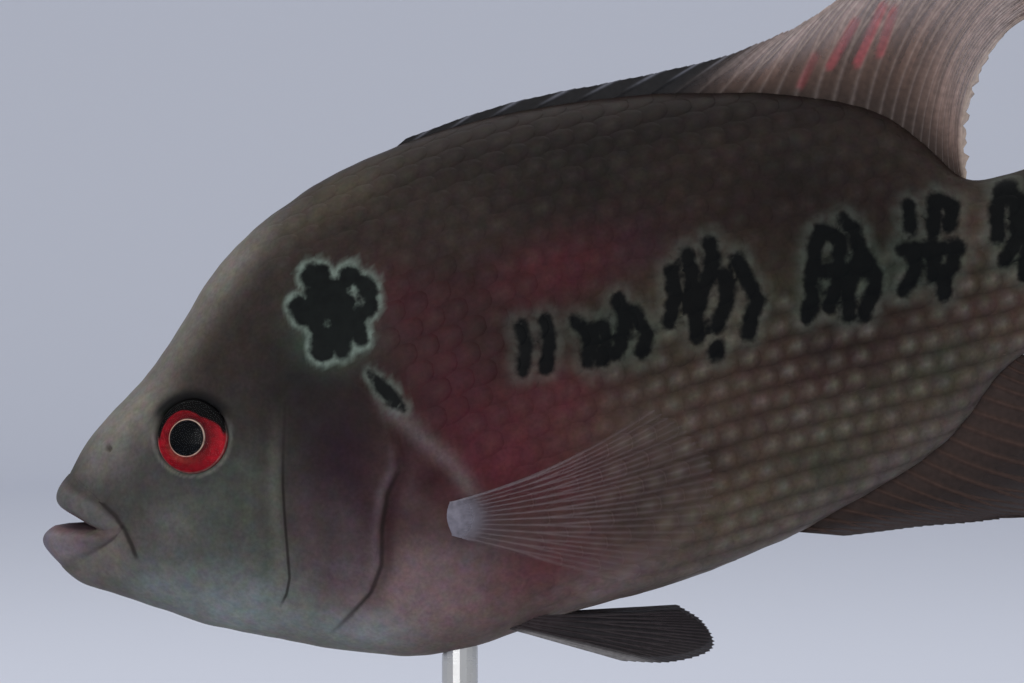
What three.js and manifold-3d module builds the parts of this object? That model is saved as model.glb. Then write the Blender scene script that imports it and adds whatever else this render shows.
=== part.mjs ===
// Flowerhorn cichlid, life size, as a still model held nose-down on a plain stand.
// Millimetres, +Z up. The fish faces -X and its left side faces -Y.
// It is shaped in its own frame first: u runs from snout to tail, y to its right, v to its back.
// The whole fish is then pitched nose-down and set on its rod.
import * as THREE from "three";
import { mergeVertices } from "three/addons/utils/BufferGeometryUtils.js";
import Module from "manifold-3d";

const wasm = await Module();
wasm.setup();

// Driving dimensions
const PITCH = THREE.MathUtils.degToRad(15); // nose-down angle of the body axis
const GAP = 0.3; // clearance between touching nodes
const BASE = { length: 156, width: 104, thick: 10, corner: 26, edge: 1.2 };
const ROD = { x: 76, radius: 3.4, collarRadius: 7, collarHeight: 4 };
const BELLY_CLEAR = 27; // from the top of the base to the lowest point of the belly
const BELLY_DROP = 27.4; // from the body axis at the snout to the lowest point of the belly
const STAND_CENTRE_X = 90; // where the base's middle lies, behind the snout

// Outline of the body without its fins, as [u, v] in the fish's own frame
const BACK = [
  [5.5, 8.7], [9.7, 12.5], [12.6, 14.5], [18.2, 18], [21.1, 19.8], [23.9, 21.8], [27.2, 24.5], [30, 27],
  [33.3, 30.1], [36.6, 33.4], [39.6, 36], [42.5, 38.2], [45.3, 40], [50.9, 43], [56.2, 45.1], [65.1, 48.1],
  [75.6, 50], [85.8, 51], [98, 51.2], [110, 50.4], [122, 48.8], [131, 47.2], [140, 44.9], [150, 42.2],
  [158, 39.2], [165, 36], [171, 32], [175.5, 26.6], [178.6, 22], [181, 18], [184, 16], [190, 15.4],
  [200, 16], [211, 17],
];
const BELLY = [
  [5.5, -17.3], [12.3, -21.8], [20.6, -27.3], [27.2, -30.7], [34, -34], [42.5, -38.1], [51.8, -41.8],
  [57.1, -43.6], [62.8, -44.6], [70.6, -45], [78, -44.4], [86, -43.6], [95.6, -43.4], [105.9, -43.4],
  [117, -42.6], [127.7, -41.2], [134, -40.2], [142.6, -38], [150.4, -36], [158.6, -33.6], [166.4, -30.4],
  [172.3, -26.4], [178, -21.6], [184, -18.6], [192, -17.6], [200, -17.6], [211, -18.6],
];
const HALF_WIDTH = [
  [5.5, 7.6], [14, 11.5], [30, 16.2], [45, 19.6], [60, 22], [75, 23], [95, 22.2], [115, 19.4], [135, 15.8],
  [155, 12], [170, 9.2], [182, 7.2], [195, 5.8], [211, 4.4],
];
const WIDEST_LEVEL = [[5.5, -4], [30, -6], [60, -5], [90, -1], [130, 1], [182, -1], [211, -1]];
const SNOUT = { front: 1.5, cap: 4 };
const STEM_END = { u: 209, cap: 2 };
const FULLNESS = { above: 1.12, below: 0.86 }; // power of the sine in a cross-section: under 1 is fuller
const BODY_RINGS = 42;
const BODY_SIDES = 24;

// Head
const EYE = { u: 28.7, v: 7.4, radius: 7, depth: 4.4, proud: 2, turn: 15, tilt: 12, rim: 0.8 };
const PUPIL = { radius: 3.3, proud: 0.45 };
const NOSTRIL = { u: 12.6, v: 9.2, radius: 0.8, depth: 2.2, rim: 0.55 };
const UPPER_LIP = { front: [2.9, 3], corner: [12.2, -9.6], spread: 9.4, thick: 2.7, thin: 1.9 };
const LOWER_LIP = { front: [-1.4, -4.9], corner: [11, -9.8], spread: 8.6, thick: 3, thin: 1.8 };
const MOUTH_WEDGE = [[-9, 9.4], [-9, 0.2], [-1.8, -2], [2, -3.6], [6.8, -4.7]];
const JAW_OUTLINE = [
  [-9, 1.2], [-1.6, -1.4], [2, -3.3], [6.8, -5], [11, -8], [14.6, -13], [17.5, -19], [20, -30], [-9, -30],
];
const CHIN = { u: 7.4, v: -10.2, radii: [9.6, 8.2, 7] };
const GILL_EDGE = [
  [58.8, 14.6], [62.6, 9.6], [65.2, 3], [65.4, -6], [62, -12.6], [59, -19], [56.8, -25.5], [53.4, -29.8],
  [47, -34.2],
];
const CHEEK_EDGE = [[48.6, 13], [48.2, 5.8], [45.4, -5], [43.8, -13], [41.6, -22], [40.4, -29]];
const GILL_COVER = { raised: 0.9, thick: 2.6 };

// Fins: each ray is [u of its root, u of its tip, v of its tip, bow as a share of its length]
const DORSAL = {
  rays: [
    [75, 82, 51.4, 0], [90, 101, 52.7, 0], [108, 121, 51.6, 0], [125, 139, 50.4, 0.01], [136, 152, 51, 0.02],
    [145, 163, 53.6, 0.05], [152.5, 173.5, 57.2, 0.08], [160, 187, 61, 0.1], [166.5, 200.5, 61.8, 0.12],
    [171, 212, 60, 0.14], [174.4, 218, 57, 0.16], [177, 216.6, 53.4, 0.18], [179.2, 212.8, 50.2, 0.19],
    [181, 208.4, 47.4, 0.19], [182.6, 203.5, 44.6, 0.16],
  ],
  count: 22, rows: 5, wave: 1.6, membrane: 0.55, ridge: 0.7, notch: 0.9,
};
const ANAL = {
  rays: [
    [132.5, 143, -43, 0], [140, 159, -45.4, -0.02], [148, 173.5, -47.8, -0.05], [155, 187.5, -50.2, -0.08],
    [161.5, 200.5, -49.6, -0.08], [167.5, 212, -46.4, -0.08], [173, 219, -40, -0.08], [177.5, 207, -33.6, -0.08],
    [181, 197.5, -27.4, -0.08], [183.8, 190.5, -22.4, -0.08],
  ],
  count: 15, rows: 5, wave: 1.4, membrane: 0.55, ridge: 0.7, notch: 0.9,
};
const TAIL_FIN = {
  rays: [
    [16.2, 226, 27.5, 0], [14.6, 240, 33.5, 0], [11.4, 250.5, 31.5, 0], [7, 258, 22, 0], [0, 262.4, 2, 0],
    [-2, 262.4, -5, 0], [-9, 258, -25, 0], [-13, 250.5, -34.5, 0], [-16.4, 240, -36.5, 0], [-18, 226, -30.5, 0],
  ],
  root: 208, count: 15, rows: 5, wave: 2.2, membrane: 0.55, ridge: 0.8, notch: 0.9,
};
const PECTORAL = {
  root: { u: 70.5, upper: -16.9, lower: -21.4 },
  tips: [[113.4, -9.6], [118.6, -15], [121.4, -22], [119.4, -30], [111, -36.6], [99, -39.6]],
  count: 11, rows: 5, lift: 5.2, membrane: 0.55, ridge: 0.6, notch: 0.7, stalk: 2.3,
};
const PELVIC = {
  root: { front: 75, back: 80, v: -42.6, y: 6 },
  tips: [[96, -54.4], [105, -57], [112.7, -56.7], [113, -52.6], [109, -48]],
  count: 6, rows: 4, lift: 5, membrane: 0.6, ridge: 0.7, notch: 0.8, stalk: 2.2,
};

// A smooth curve through [x, y] points, as a cubic with slopes from the neighbours
function smooth(points) {
  const slope = points.map((p, i) => {
    const a = points[Math.max(i - 1, 0)];
    const b = points[Math.min(i + 1, points.length - 1)];
    return (b[1] - a[1]) / (b[0] - a[0]);
  });
  return (x) => {
    let i = points.findIndex((p) => p[0] > x) - 1;
    if (i === -2) i = points.length - 2;
    i = Math.max(i, 0);
    const [x0, y0] = points[i];
    const [x1, y1] = points[i + 1];
    const h = x1 - x0;
    const t = (Math.min(Math.max(x, x0), x1) - x0) / h;
    return (
      y0 * (1 + 2 * t) * (1 - t) ** 2 + slope[i] * h * t * (1 - t) ** 2 +
      y1 * t * t * (3 - 2 * t) + slope[i + 1] * h * t * t * (t - 1)
    );
  };
}
const back = smooth(BACK);
const belly = smooth(BELLY);
const halfWidth = smooth(HALF_WIDTH);
const level = smooth(WIDEST_LEVEL);

// A point of the body's cross-section at u: angle 0 is the ridge of the back, pi the belly
function section(u, angle, share, grow) {
  const middle = level(u);
  const c = Math.cos(angle);
  const s = Math.sin(angle);
  const high = (c > 0 ? back(u) - middle : middle - belly(u)) + grow;
  const power = c > 0 ? FULLNESS.above : FULLNESS.below;
  const y = (halfWidth(u) + grow) * Math.abs(s) ** power * Math.sign(s);
  return [y * share, middle + high * c * share];
}

// How far the skin lies from the middle plane at a point of the side view
function sideAt(u, v) {
  const c = v > level(u) ? (v - level(u)) / (back(u) - level(u)) : (level(u) - v) / (level(u) - belly(u));
  const power = v > level(u) ? FULLNESS.above : FULLNESS.below;
  return halfWidth(u) * Math.sqrt(Math.max(1 - c * c, 0)) ** power;
}

// A closed mesh with shared vertices as a solid
function solidOf(positions, triangles) {
  return new wasm.Manifold(
    new wasm.Mesh({
      numProp: 3,
      vertProperties: new Float32Array(positions.flat()),
      triVerts: new Uint32Array(triangles.flat()),
    }),
  );
}

// A three.js geometry as a solid
function fromGeometry(geometry) {
  const plain = geometry.clone();
  plain.deleteAttribute("normal");
  plain.deleteAttribute("uv");
  const merged = mergeVertices(plain, 1e-4);
  return new wasm.Manifold(
    new wasm.Mesh({
      numProp: 3,
      vertProperties: merged.attributes.position.array,
      triVerts: new Uint32Array(merged.index.array),
    }),
  );
}

// Closed loops of equal count, joined in order and closed by a point at each end
function loft(first, rings, last) {
  const n = rings[0].length;
  const positions = [first, ...rings.flat(), last];
  const at = (k, i) => 1 + k * n + (i % n);
  const triangles = [];
  for (let i = 0; i < n; i++) {
    triangles.push([0, at(0, i), at(0, i + 1)]);
    triangles.push([positions.length - 1, at(rings.length - 1, i + 1), at(rings.length - 1, i)]);
    for (let k = 0; k + 1 < rings.length; k++) {
      triangles.push([at(k, i), at(k + 1, i), at(k + 1, i + 1)]);
      triangles.push([at(k, i), at(k + 1, i + 1), at(k, i + 1)]);
    }
  }
  return outward(positions, triangles);
}

// The same triangles, turned round if they face inwards
function outward(positions, triangles) {
  const made = solidOf(positions, triangles);
  return made.volume() > 0 ? made : solidOf(positions, triangles.map(([a, b, c]) => [a, c, b]));
}

// The whole body without fins, grown or shrunk all round
function bodySolid(grow, rings = BODY_RINGS, sides = BODY_SIDES) {
  const loops = [];
  const loopAt = (u, shapeU, share) =>
    Array.from({ length: sides }, (_, i) => {
      const [y, v] = section(shapeU, (2 * Math.PI * i) / sides, share, grow);
      return [u, y, v];
    });
  const capEnd = SNOUT.front + SNOUT.cap;
  for (const degrees of [22, 45, 68]) {
    const a = THREE.MathUtils.degToRad(degrees);
    loops.push(loopAt(capEnd - (SNOUT.cap + grow) * Math.cos(a), capEnd, Math.sin(a)));
  }
  for (let k = 0; k <= rings; k++) {
    const u = capEnd + ((STEM_END.u - capEnd) * k) / rings;
    loops.push(loopAt(u, u, 1));
  }
  loops.push(loopAt(STEM_END.u + (STEM_END.cap + grow) * 0.7, STEM_END.u, 0.7));
  const nose = [SNOUT.front - grow, 0, level(capEnd)];
  const end = [STEM_END.u + STEM_END.cap + grow, 0, level(STEM_END.u)];
  return loft(nose, loops, end);
}

// An outline of [u, v] points, run either way round, moved outwards by a distance
function widened(outline, distance) {
  const turn = Math.sign(THREE.ShapeUtils.area(outline.map(([x, y]) => ({ x, y }))));
  return outline.map((point, i) => {
    const before = outline.at(i - 1);
    const after = outline[(i + 1) % outline.length];
    const along = new THREE.Vector2(after[0] - before[0], after[1] - before[1]).normalize();
    return [point[0] + turn * distance * along.y, point[1] - turn * distance * along.x];
  });
}

// A flat outline of [u, v] points, drawn through from side to side between two y values
function slab(outline, y0, y1) {
  const shape = new THREE.Shape(outline.map(([u, v]) => new THREE.Vector2(u, v)));
  const geometry = new THREE.ExtrudeGeometry(shape, { depth: y1 - y0, bevelEnabled: false });
  geometry.rotateX(Math.PI / 2);
  geometry.translate(0, y1, 0);
  return fromGeometry(geometry);
}

// An ellipsoid at a point
function ellipsoid(centre, radii, segments = 20) {
  const geometry = new THREE.SphereGeometry(1, segments, Math.round(segments / 2));
  geometry.rotateX(Math.PI / 2);
  geometry.scale(...radii);
  geometry.translate(...centre);
  return fromGeometry(geometry);
}

// The largest closed surface of a solid
function largest(solid) {
  return solid.decompose().reduce((a, b) => (b.volume() > a.volume() ? b : a));
}

// A lip: a soft roll bent round the mouth from corner to corner
function lip({ front, corner, spread, thick, thin }) {
  const steps = 14;
  const sides = 8;
  const rings = [];
  const centre = (k) => {
    const a = Math.PI * (k / steps - 0.5);
    const reach = Math.cos(a) ** 0.9;
    return new THREE.Vector3(
      corner[0] + (front[0] - corner[0]) * reach,
      spread * Math.sin(a),
      corner[1] + (front[1] - corner[1]) * reach,
    );
  };
  for (let k = 0; k <= steps; k++) {
    const here = centre(k);
    const along = centre(Math.min(k + 0.5, steps)).sub(centre(Math.max(k - 0.5, 0))).normalize();
    const up = new THREE.Vector3(0, 0, 1).addScaledVector(along, -along.z).normalize();
    const out = new THREE.Vector3().crossVectors(along, up);
    const radius = thin + (thick - thin) * Math.cos(Math.PI * (k / steps - 0.5));
    rings.push(
      Array.from({ length: sides }, (_, i) => {
        const b = (2 * Math.PI * i) / sides;
        const raised = here.clone().addScaledVector(up, radius * Math.sin(b));
        return raised.addScaledVector(out, radius * Math.cos(b)).toArray();
      }),
    );
  }
  return loft(centre(0).toArray(), rings, centre(steps).toArray());
}

// A thin sheet with two faces: place(i, j, side) gives a point, side is -1 or 1
function sheet(columns, rows, place) {
  const positions = [];
  for (const side of [-1, 1])
    for (let j = 0; j <= rows; j++)
      for (let i = 0; i <= columns; i++) positions.push(place(i, j, side));
  const face = (rows + 1) * (columns + 1);
  const at = (i, j, side) => (side > 0 ? face : 0) + j * (columns + 1) + i;
  const triangles = [];
  const quad = (a, b, c, d) => triangles.push([a, b, c], [a, c, d]);
  for (let j = 0; j < rows; j++)
    for (let i = 0; i < columns; i++) {
      quad(at(i, j, -1), at(i + 1, j, -1), at(i + 1, j + 1, -1), at(i, j + 1, -1));
      quad(at(i, j, 1), at(i, j + 1, 1), at(i + 1, j + 1, 1), at(i + 1, j, 1));
    }
  for (let i = 0; i < columns; i++) {
    quad(at(i, 0, -1), at(i, 0, 1), at(i + 1, 0, 1), at(i + 1, 0, -1));
    quad(at(i, rows, -1), at(i + 1, rows, -1), at(i + 1, rows, 1), at(i, rows, 1));
  }
  for (let j = 0; j < rows; j++) {
    quad(at(0, j, -1), at(0, j + 1, -1), at(0, j + 1, 1), at(0, j, 1));
    quad(at(columns, j, -1), at(columns, j, 1), at(columns, j + 1, 1), at(columns, j + 1, -1));
  }
  return outward(positions, triangles);
}

// Rays fall on a fin's odd columns, membrane on its even ones
const onRay = (i) => i % 2 === 1;

// A fin in the middle plane, between its root curve and its margin
function medianFin(fin, rootOf) {
  const last = fin.rays.length - 1;
  const index = (k) => fin.rays.map((ray, i) => [i / last, ray[k]]);
  const [base, tipU, tipV, bow] = [0, 1, 2, 3].map((k) => smooth(index(k)));
  const columns = 2 * fin.count;
  return sheet(columns, fin.rows, (i, j, side) => {
    const t = i / columns;
    const r = j / fin.rows;
    const root = rootOf(base(t));
    const tip = [tipU(t), tipV(t)];
    const run = [tip[0] - root[0], tip[1] - root[1]];
    const length = Math.hypot(...run);
    const reach = r * (onRay(i) ? 1 : 1 - fin.notch / Math.max(length, 6));
    const bend = bow(t) * 4 * r * (1 - r);
    const thick = fin.membrane * (1 - 0.3 * r) + (onRay(i) ? fin.ridge * (1 - 0.65 * r) : 0);
    const wave = fin.wave * r * r * Math.sin(2.2 * Math.PI * t) * Math.min(length / 40, 1);
    const u = root[0] + run[0] * reach - run[1] * bend;
    const v = root[1] + run[1] * reach + run[0] * bend;
    return [u, wave + (side * thick) / 2, v];
  });
}

// A paired fin: a fleshy stalk that fans out behind its root. side is -1 for the left
function pairedFin(fin, side, rootOf, outward) {
  const last = fin.tips.length - 1;
  const [tipU, tipV] = [0, 1].map((k) => smooth(fin.tips.map((tip, i) => [i / last, tip[k]])));
  const columns = 2 * fin.count;
  return sheet(columns, fin.rows, (i, j, face) => {
    const t = i / columns;
    const r = j / fin.rows;
    const root = rootOf(t);
    const reach = r * (onRay(i) ? 1 : 1 - fin.notch / 30);
    const stalk = fin.stalk * Math.max(1 - 3.2 * r, 0) ** 2;
    const thick = fin.membrane * (1 - 0.3 * r) + (onRay(i) ? fin.ridge * (1 - 0.6 * r) : 0) + stalk;
    const u = root[0] + (tipU(t) - root[0]) * reach;
    const v = root[2] + (tipV(t) - root[2]) * reach;
    return [u, side * (root[1] + outward(t, r)) + (face * thick) / 2, v];
  });
}

// The named nodes, each with its colour and finish
const fish = new THREE.Group();
const stand = new THREE.Group();
fish.rotation.y = -PITCH;
const axisHeight = BASE.thick + BELLY_CLEAR + BELLY_DROP;
fish.position.z = axisHeight;
fish.updateMatrixWorld(true);

function addNode(group, name, solid, color, roughness = 0.5) {
  const made = largest(solid).getMesh();
  const geometry = new THREE.BufferGeometry();
  geometry.setAttribute("position", new THREE.BufferAttribute(made.vertProperties, 3));
  geometry.setIndex(new THREE.BufferAttribute(made.triVerts, 1));
  geometry.computeVertexNormals();
  const mesh = new THREE.Mesh(geometry, new THREE.MeshStandardMaterial({ color, roughness, metalness: 0 }));
  mesh.name = name;
  group.add(mesh);
}

// Body cut into head, jaw, gill covers, trunk and tail stem
const body = bodySolid(0);
const clearOfBody = bodySolid(GAP);
const FAR = 80;
const headOutline = [[-20, FAR], [60, FAR], ...GILL_EDGE, [40, -FAR], [-20, -FAR]];
const behindGill = [[60, FAR], ...GILL_EDGE, [40, -FAR]].map(([u, v]) => [u + GAP, v]);
const trunkOutline = [...behindGill, [184, -FAR], [184, FAR]];
const stemOutline = [[184 + GAP, -FAR], [260, -FAR], [260, FAR], [184 + GAP, FAR]];
const coverOutline = [...CHEEK_EDGE, ...[...GILL_EDGE].reverse()];
const coverHole = widened(coverOutline, GAP);

// The eye's place: sunk so that only its front stands proud, and turned to lie flush with the cheek
const eyeSide = sideAt(EYE.u, EYE.v) + EYE.proud - EYE.depth;
function seatEye(geometry, side, y) {
  geometry.rotateX(side * THREE.MathUtils.degToRad(EYE.tilt));
  geometry.rotateZ(side * THREE.MathUtils.degToRad(EYE.turn));
  geometry.translate(EYE.u, side * y, EYE.v);
  return fromGeometry(geometry);
}

function eyeBall(side, grow) {
  const ball = new THREE.SphereGeometry(1, 20, 10);
  ball.rotateX(Math.PI / 2);
  ball.scale(EYE.radius + grow, EYE.depth + grow, EYE.radius + grow);
  return seatEye(ball, side, eyeSide);
}

function pupilLens(side) {
  const lens = new THREE.SphereGeometry(1, 14, 8);
  lens.rotateX(Math.PI / 2);
  lens.scale(PUPIL.radius, 1.6 + PUPIL.proud, PUPIL.radius);
  lens.translate(0, side * (EYE.depth - 1.6), 0);
  return seatEye(lens, side, eyeSide);
}

function orbitRim(side) {
  const ring = new THREE.TorusGeometry(EYE.radius - 0.1, EYE.rim, 6, 20);
  ring.rotateX(Math.PI / 2);
  return seatEye(ring, side, sideAt(EYE.u, EYE.v) - 0.1);
}

function nostrilAt(side, radius, from, to) {
  const tube = new THREE.CylinderGeometry(radius, radius, to - from, 8);
  tube.translate(0, (from + to) / 2, 0);
  tube.rotateZ(side < 0 ? Math.PI - 0.5 : 0.5);
  tube.translate(NOSTRIL.u, side * sideAt(NOSTRIL.u, NOSTRIL.v), NOSTRIL.v);
  return fromGeometry(tube);
}

// Head: skull and cheeks with the upper lip, eye sockets, nostrils and a slit mouth
let head = body.intersect(slab(headOutline, -FAR, FAR)).add(lip(UPPER_LIP));
for (const side of [-1, 1]) {
  head = head.add(orbitRim(side)).add(nostrilAt(side, NOSTRIL.radius + NOSTRIL.rim, -2, 0.35));
  head = head.subtract(eyeBall(side, GAP)).subtract(nostrilAt(side, NOSTRIL.radius, -NOSTRIL.depth, 2));
}
const jawPrism = slab(JAW_OUTLINE, -FAR, FAR);
const jawPrismGrown = slab(widened(JAW_OUTLINE, GAP), -FAR, FAR);
const chin = ellipsoid([CHIN.u, 0, CHIN.v], CHIN.radii);
const wedge = slab(MOUTH_WEDGE, -7.5, 7.5);
const jaw = body.add(chin).add(lip(LOWER_LIP)).intersect(jawPrism).subtract(wedge);
head = head.subtract(jawPrismGrown).subtract(wedge);

// Gill covers: raised plates over the sides behind the cheeks
const coverShell = bodySolid(GILL_COVER.raised).subtract(bodySolid(-GILL_COVER.thick));
const coverBed = bodySolid(6).subtract(bodySolid(-GILL_COVER.thick - GAP));
const cover = (side) => coverShell.intersect(slab(coverOutline, ...(side < 0 ? [-FAR, -6] : [6, FAR])));
const bed = (side) => coverBed.intersect(slab(coverHole, ...(side < 0 ? [-FAR, -5.6] : [5.6, FAR])));
let trunk = body.intersect(slab(trunkOutline, -FAR, FAR));
for (const side of [-1, 1]) {
  head = head.subtract(bed(side));
  trunk = trunk.subtract(bed(side));
}

addNode(fish, "head", head, 0x5f5f57, 0.45);
addNode(fish, "lower_jaw", jaw, 0x6f6a6c, 0.45);
addNode(fish, "trunk", trunk, 0x4d3a3a, 0.4);
addNode(fish, "tail_stem", body.intersect(slab(stemOutline, -FAR, FAR)), 0x54443f, 0.4);
for (const [side, name] of [[-1, "left"], [1, "right"]]) {
  addNode(fish, "gill_cover_" + name, cover(side), 0x40353a, 0.4);
  addNode(fish, "eye_" + name, eyeBall(side, 0).add(pupilLens(side)), 0x8a1f22, 0.15);
}

// Fins on the middle plane
const onBack = (u) => [u, back(u) - 1.7];
const onBelly = (u) => [u, belly(u) + 1.2];
const onStem = (v) => [TAIL_FIN.root, v];
addNode(fish, "dorsal_fin", medianFin(DORSAL, onBack).subtract(clearOfBody), 0x6a5654, 0.5);
addNode(fish, "anal_fin", medianFin(ANAL, onBelly).subtract(clearOfBody), 0x3b2e2a, 0.5);
addNode(fish, "tail_fin", medianFin(TAIL_FIN, onStem).subtract(clearOfBody), 0x4a3a38, 0.5);

// Paired fins
const pectoralRoot = (t) => {
  const v = PECTORAL.root.upper + (PECTORAL.root.lower - PECTORAL.root.upper) * t;
  return [PECTORAL.root.u, sideAt(PECTORAL.root.u, v) - 0.6, v];
};
const pectoralOut = (t, r) => {
  const rise = Math.sin(Math.min(r * 4, 1) * (Math.PI / 2));
  return 1.6 * rise + PECTORAL.lift * r * (1 - 0.25 * t);
};
const pelvicRoot = (t) => {
  const { front, back: rear, y, v } = PELVIC.root;
  return [front + (rear - front) * t, y, v];
};
const pelvicOut = (t, r) => PELVIC.lift * r + 1.5 * t * r;
for (const [side, name] of [[-1, "left"], [1, "right"]]) {
  const pectoral = pairedFin(PECTORAL, side, pectoralRoot, pectoralOut);
  const pelvic = pairedFin(PELVIC, side, pelvicRoot, pelvicOut);
  addNode(fish, "pectoral_fin_" + name, pectoral.subtract(clearOfBody), 0x5a4c50, 0.4);
  addNode(fish, "pelvic_fin_" + name, pelvic.subtract(clearOfBody), 0x35302f, 0.5);
}

// Stand: a plain base with rounded corners and one rod with a collar
function roundedPlate(length, width, corner) {
  const shape = new THREE.Shape();
  const [x, y] = [length / 2 - corner, width / 2 - corner];
  shape.absarc(x, y, corner, 0, Math.PI / 2);
  shape.absarc(-x, y, corner, Math.PI / 2, Math.PI);
  shape.absarc(-x, -y, corner, Math.PI, 1.5 * Math.PI);
  shape.absarc(x, -y, corner, 1.5 * Math.PI, 2 * Math.PI);
  return shape;
}
const inset = 2 * BASE.edge;
const top = roundedPlate(BASE.length - inset, BASE.width - inset, BASE.corner - BASE.edge);
const plate = new THREE.ExtrudeGeometry(top, {
  depth: BASE.thick - inset,
  bevelEnabled: true,
  bevelThickness: BASE.edge,
  bevelSize: BASE.edge,
  bevelSegments: 1,
  curveSegments: 6,
});
plate.translate(STAND_CENTRE_X, 0, BASE.edge);
addNode(stand, "stand_base", fromGeometry(plate), 0xd3d0ca, 0.45);

const rodHeight = BELLY_CLEAR + 12;
const profile = [
  [0, 0], [ROD.collarRadius, 0], [ROD.collarRadius, 1], [ROD.collarRadius * 0.7, ROD.collarHeight * 0.6],
  [ROD.radius, ROD.collarHeight], [ROD.radius, rodHeight], [0, rodHeight],
];
const rod = new THREE.LatheGeometry(profile.map(([r, z]) => new THREE.Vector2(r, z)), 16);
rod.rotateX(Math.PI / 2);
rod.translate(ROD.x, 0, BASE.thick + GAP);
const placed = clearOfBody.transform(fish.matrixWorld.elements);
addNode(stand, "stand_rod", fromGeometry(rod).subtract(placed), 0xb9b9b6, 0.25);

// The whole part stands with the middle of its length and width over the origin
const whole = new THREE.Group();
whole.add(fish, stand);
const extent = new THREE.Box3().setFromObject(whole, true);
whole.position.x = -(extent.min.x + extent.max.x) / 2;
const model = new THREE.Group();
model.add(whole);

export default model;
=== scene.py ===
import math

import bpy
import numpy as np
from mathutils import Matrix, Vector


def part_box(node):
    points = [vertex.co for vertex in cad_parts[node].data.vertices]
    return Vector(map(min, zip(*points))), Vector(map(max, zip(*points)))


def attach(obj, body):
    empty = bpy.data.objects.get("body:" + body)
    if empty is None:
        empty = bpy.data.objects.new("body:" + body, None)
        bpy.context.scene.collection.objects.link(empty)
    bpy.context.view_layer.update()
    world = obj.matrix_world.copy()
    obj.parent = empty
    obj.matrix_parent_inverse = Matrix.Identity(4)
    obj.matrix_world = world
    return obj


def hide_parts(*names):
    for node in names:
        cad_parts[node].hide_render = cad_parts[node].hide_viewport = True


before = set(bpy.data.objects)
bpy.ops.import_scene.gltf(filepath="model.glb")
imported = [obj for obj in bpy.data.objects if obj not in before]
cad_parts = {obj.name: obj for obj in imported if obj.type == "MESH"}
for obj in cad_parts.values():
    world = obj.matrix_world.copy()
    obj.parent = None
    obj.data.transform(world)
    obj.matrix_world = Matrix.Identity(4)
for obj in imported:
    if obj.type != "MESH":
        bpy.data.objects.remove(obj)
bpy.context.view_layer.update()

# Place of the fish
# The fish is carried nose-down on a rod over its base. Its own millimetres run u from snout to tail, y to
# its right and v to its back. The snout lies 90 mm ahead of the base's middle.
base_low, base_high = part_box("stand_base")
SNOUT_AHEAD = 0.090
SNOUT_X = (base_low[0] + base_high[0]) / 2 - SNOUT_AHEAD
SNOUT_Z = 0.0644
PITCH = math.radians(15)


def placed(u, y, v):
    """X = u cos p - v sin p + snout, Y = y, Z = u sin p + v cos p + snout height, in metres."""
    x = (u * math.cos(PITCH) - v * math.sin(PITCH)) / 1000 + SNOUT_X
    z = (u * math.sin(PITCH) + v * math.cos(PITCH)) / 1000 + SNOUT_Z
    return np.stack(np.broadcast_arrays(x, y / 1000, z), axis=-1)


# Body form
# A deep, high-backed body, narrow from side to side. The outline without fins, the half width and the level
# where the body is widest are curves along u, in millimetres. Its sections are full at the belly and narrow
# towards the back.
def smooth(points):
    """A cubic between neighbours of (x, y) points; the slope at a point is that between its neighbours."""
    x, y = np.array(points, float).T
    index = np.arange(len(x))
    before, after = np.maximum(index - 1, 0), np.minimum(index + 1, len(x) - 1)
    slope = (y[after] - y[before]) / (x[after] - x[before])

    def at(q):
        q = np.clip(q, x[0], x[-1])
        i = np.clip(np.searchsorted(x, q, side="right") - 1, 0, len(x) - 2)
        h = x[i + 1] - x[i]
        t = (q - x[i]) / h
        rise = y[i] * (1 + 2 * t) * (1 - t) ** 2 + y[i + 1] * t * t * (3 - 2 * t)
        return rise + h * t * (1 - t) * (slope[i] * (1 - t) - slope[i + 1] * t)

    return at


back = smooth([
    (3.7, 6.5), (6.6, 9.8), (9.7, 12.5), (12.6, 14.5), (18.2, 18), (21.1, 19.8), (23.9, 21.8), (27.2, 24.5),
    (30, 27), (33.3, 30.1), (36.6, 33.4), (39.6, 36), (42.5, 38.2), (45.3, 40), (50.9, 43), (56.2, 45.1),
    (65.1, 48.1), (75.6, 50), (85.8, 51), (98, 51.2), (110, 50.4), (122, 48.8), (131, 47.2), (140, 44.9),
    (150, 42.2), (158, 39.2), (165, 36), (171, 32), (175.5, 26.6), (178.6, 22), (181, 18), (184, 16),
    (190, 15.4), (200, 16), (211, 17),
])
belly = smooth([
    (-3.1, -7.7), (-2, -10.6), (0, -13.5), (3, -15.8), (6.3, -17.8), (12.3, -21.8), (15.6, -23.9),
    (20.6, -27.3), (27.2, -30.7), (34, -34), (42.5, -38.1), (51.8, -41.8), (57.1, -43.6), (62.8, -44.6),
    (70.6, -45), (78, -44.4), (86, -43.6), (95.6, -43.4), (105.9, -43.4), (117, -42.6), (127.7, -41.2),
    (134, -40.2), (142.6, -38), (150.4, -36), (158.6, -33.6), (166.4, -30.4), (172.3, -26.4), (178, -21.6),
    (184, -18.6), (192, -17.6), (200, -17.6), (211, -18.6),
])
half_width = smooth([
    (-3.1, 3.4), (0, 5.4), (3, 6.7), (5.5, 7.6), (14, 11.5), (30, 16.2), (45, 19.6), (60, 22), (75, 23),
    (95, 22.2), (115, 19.4), (135, 15.8), (155, 12), (170, 9.2), (182, 7.2), (195, 5.8), (211, 4.4),
])
level = smooth([(-3.1, -5), (5.5, -4.2), (30, -6), (60, -5), (90, -1), (130, 1), (182, -1), (211, -1)])
BULGE_ABOVE, BULGE_BELOW = 1.12, 0.86


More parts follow.
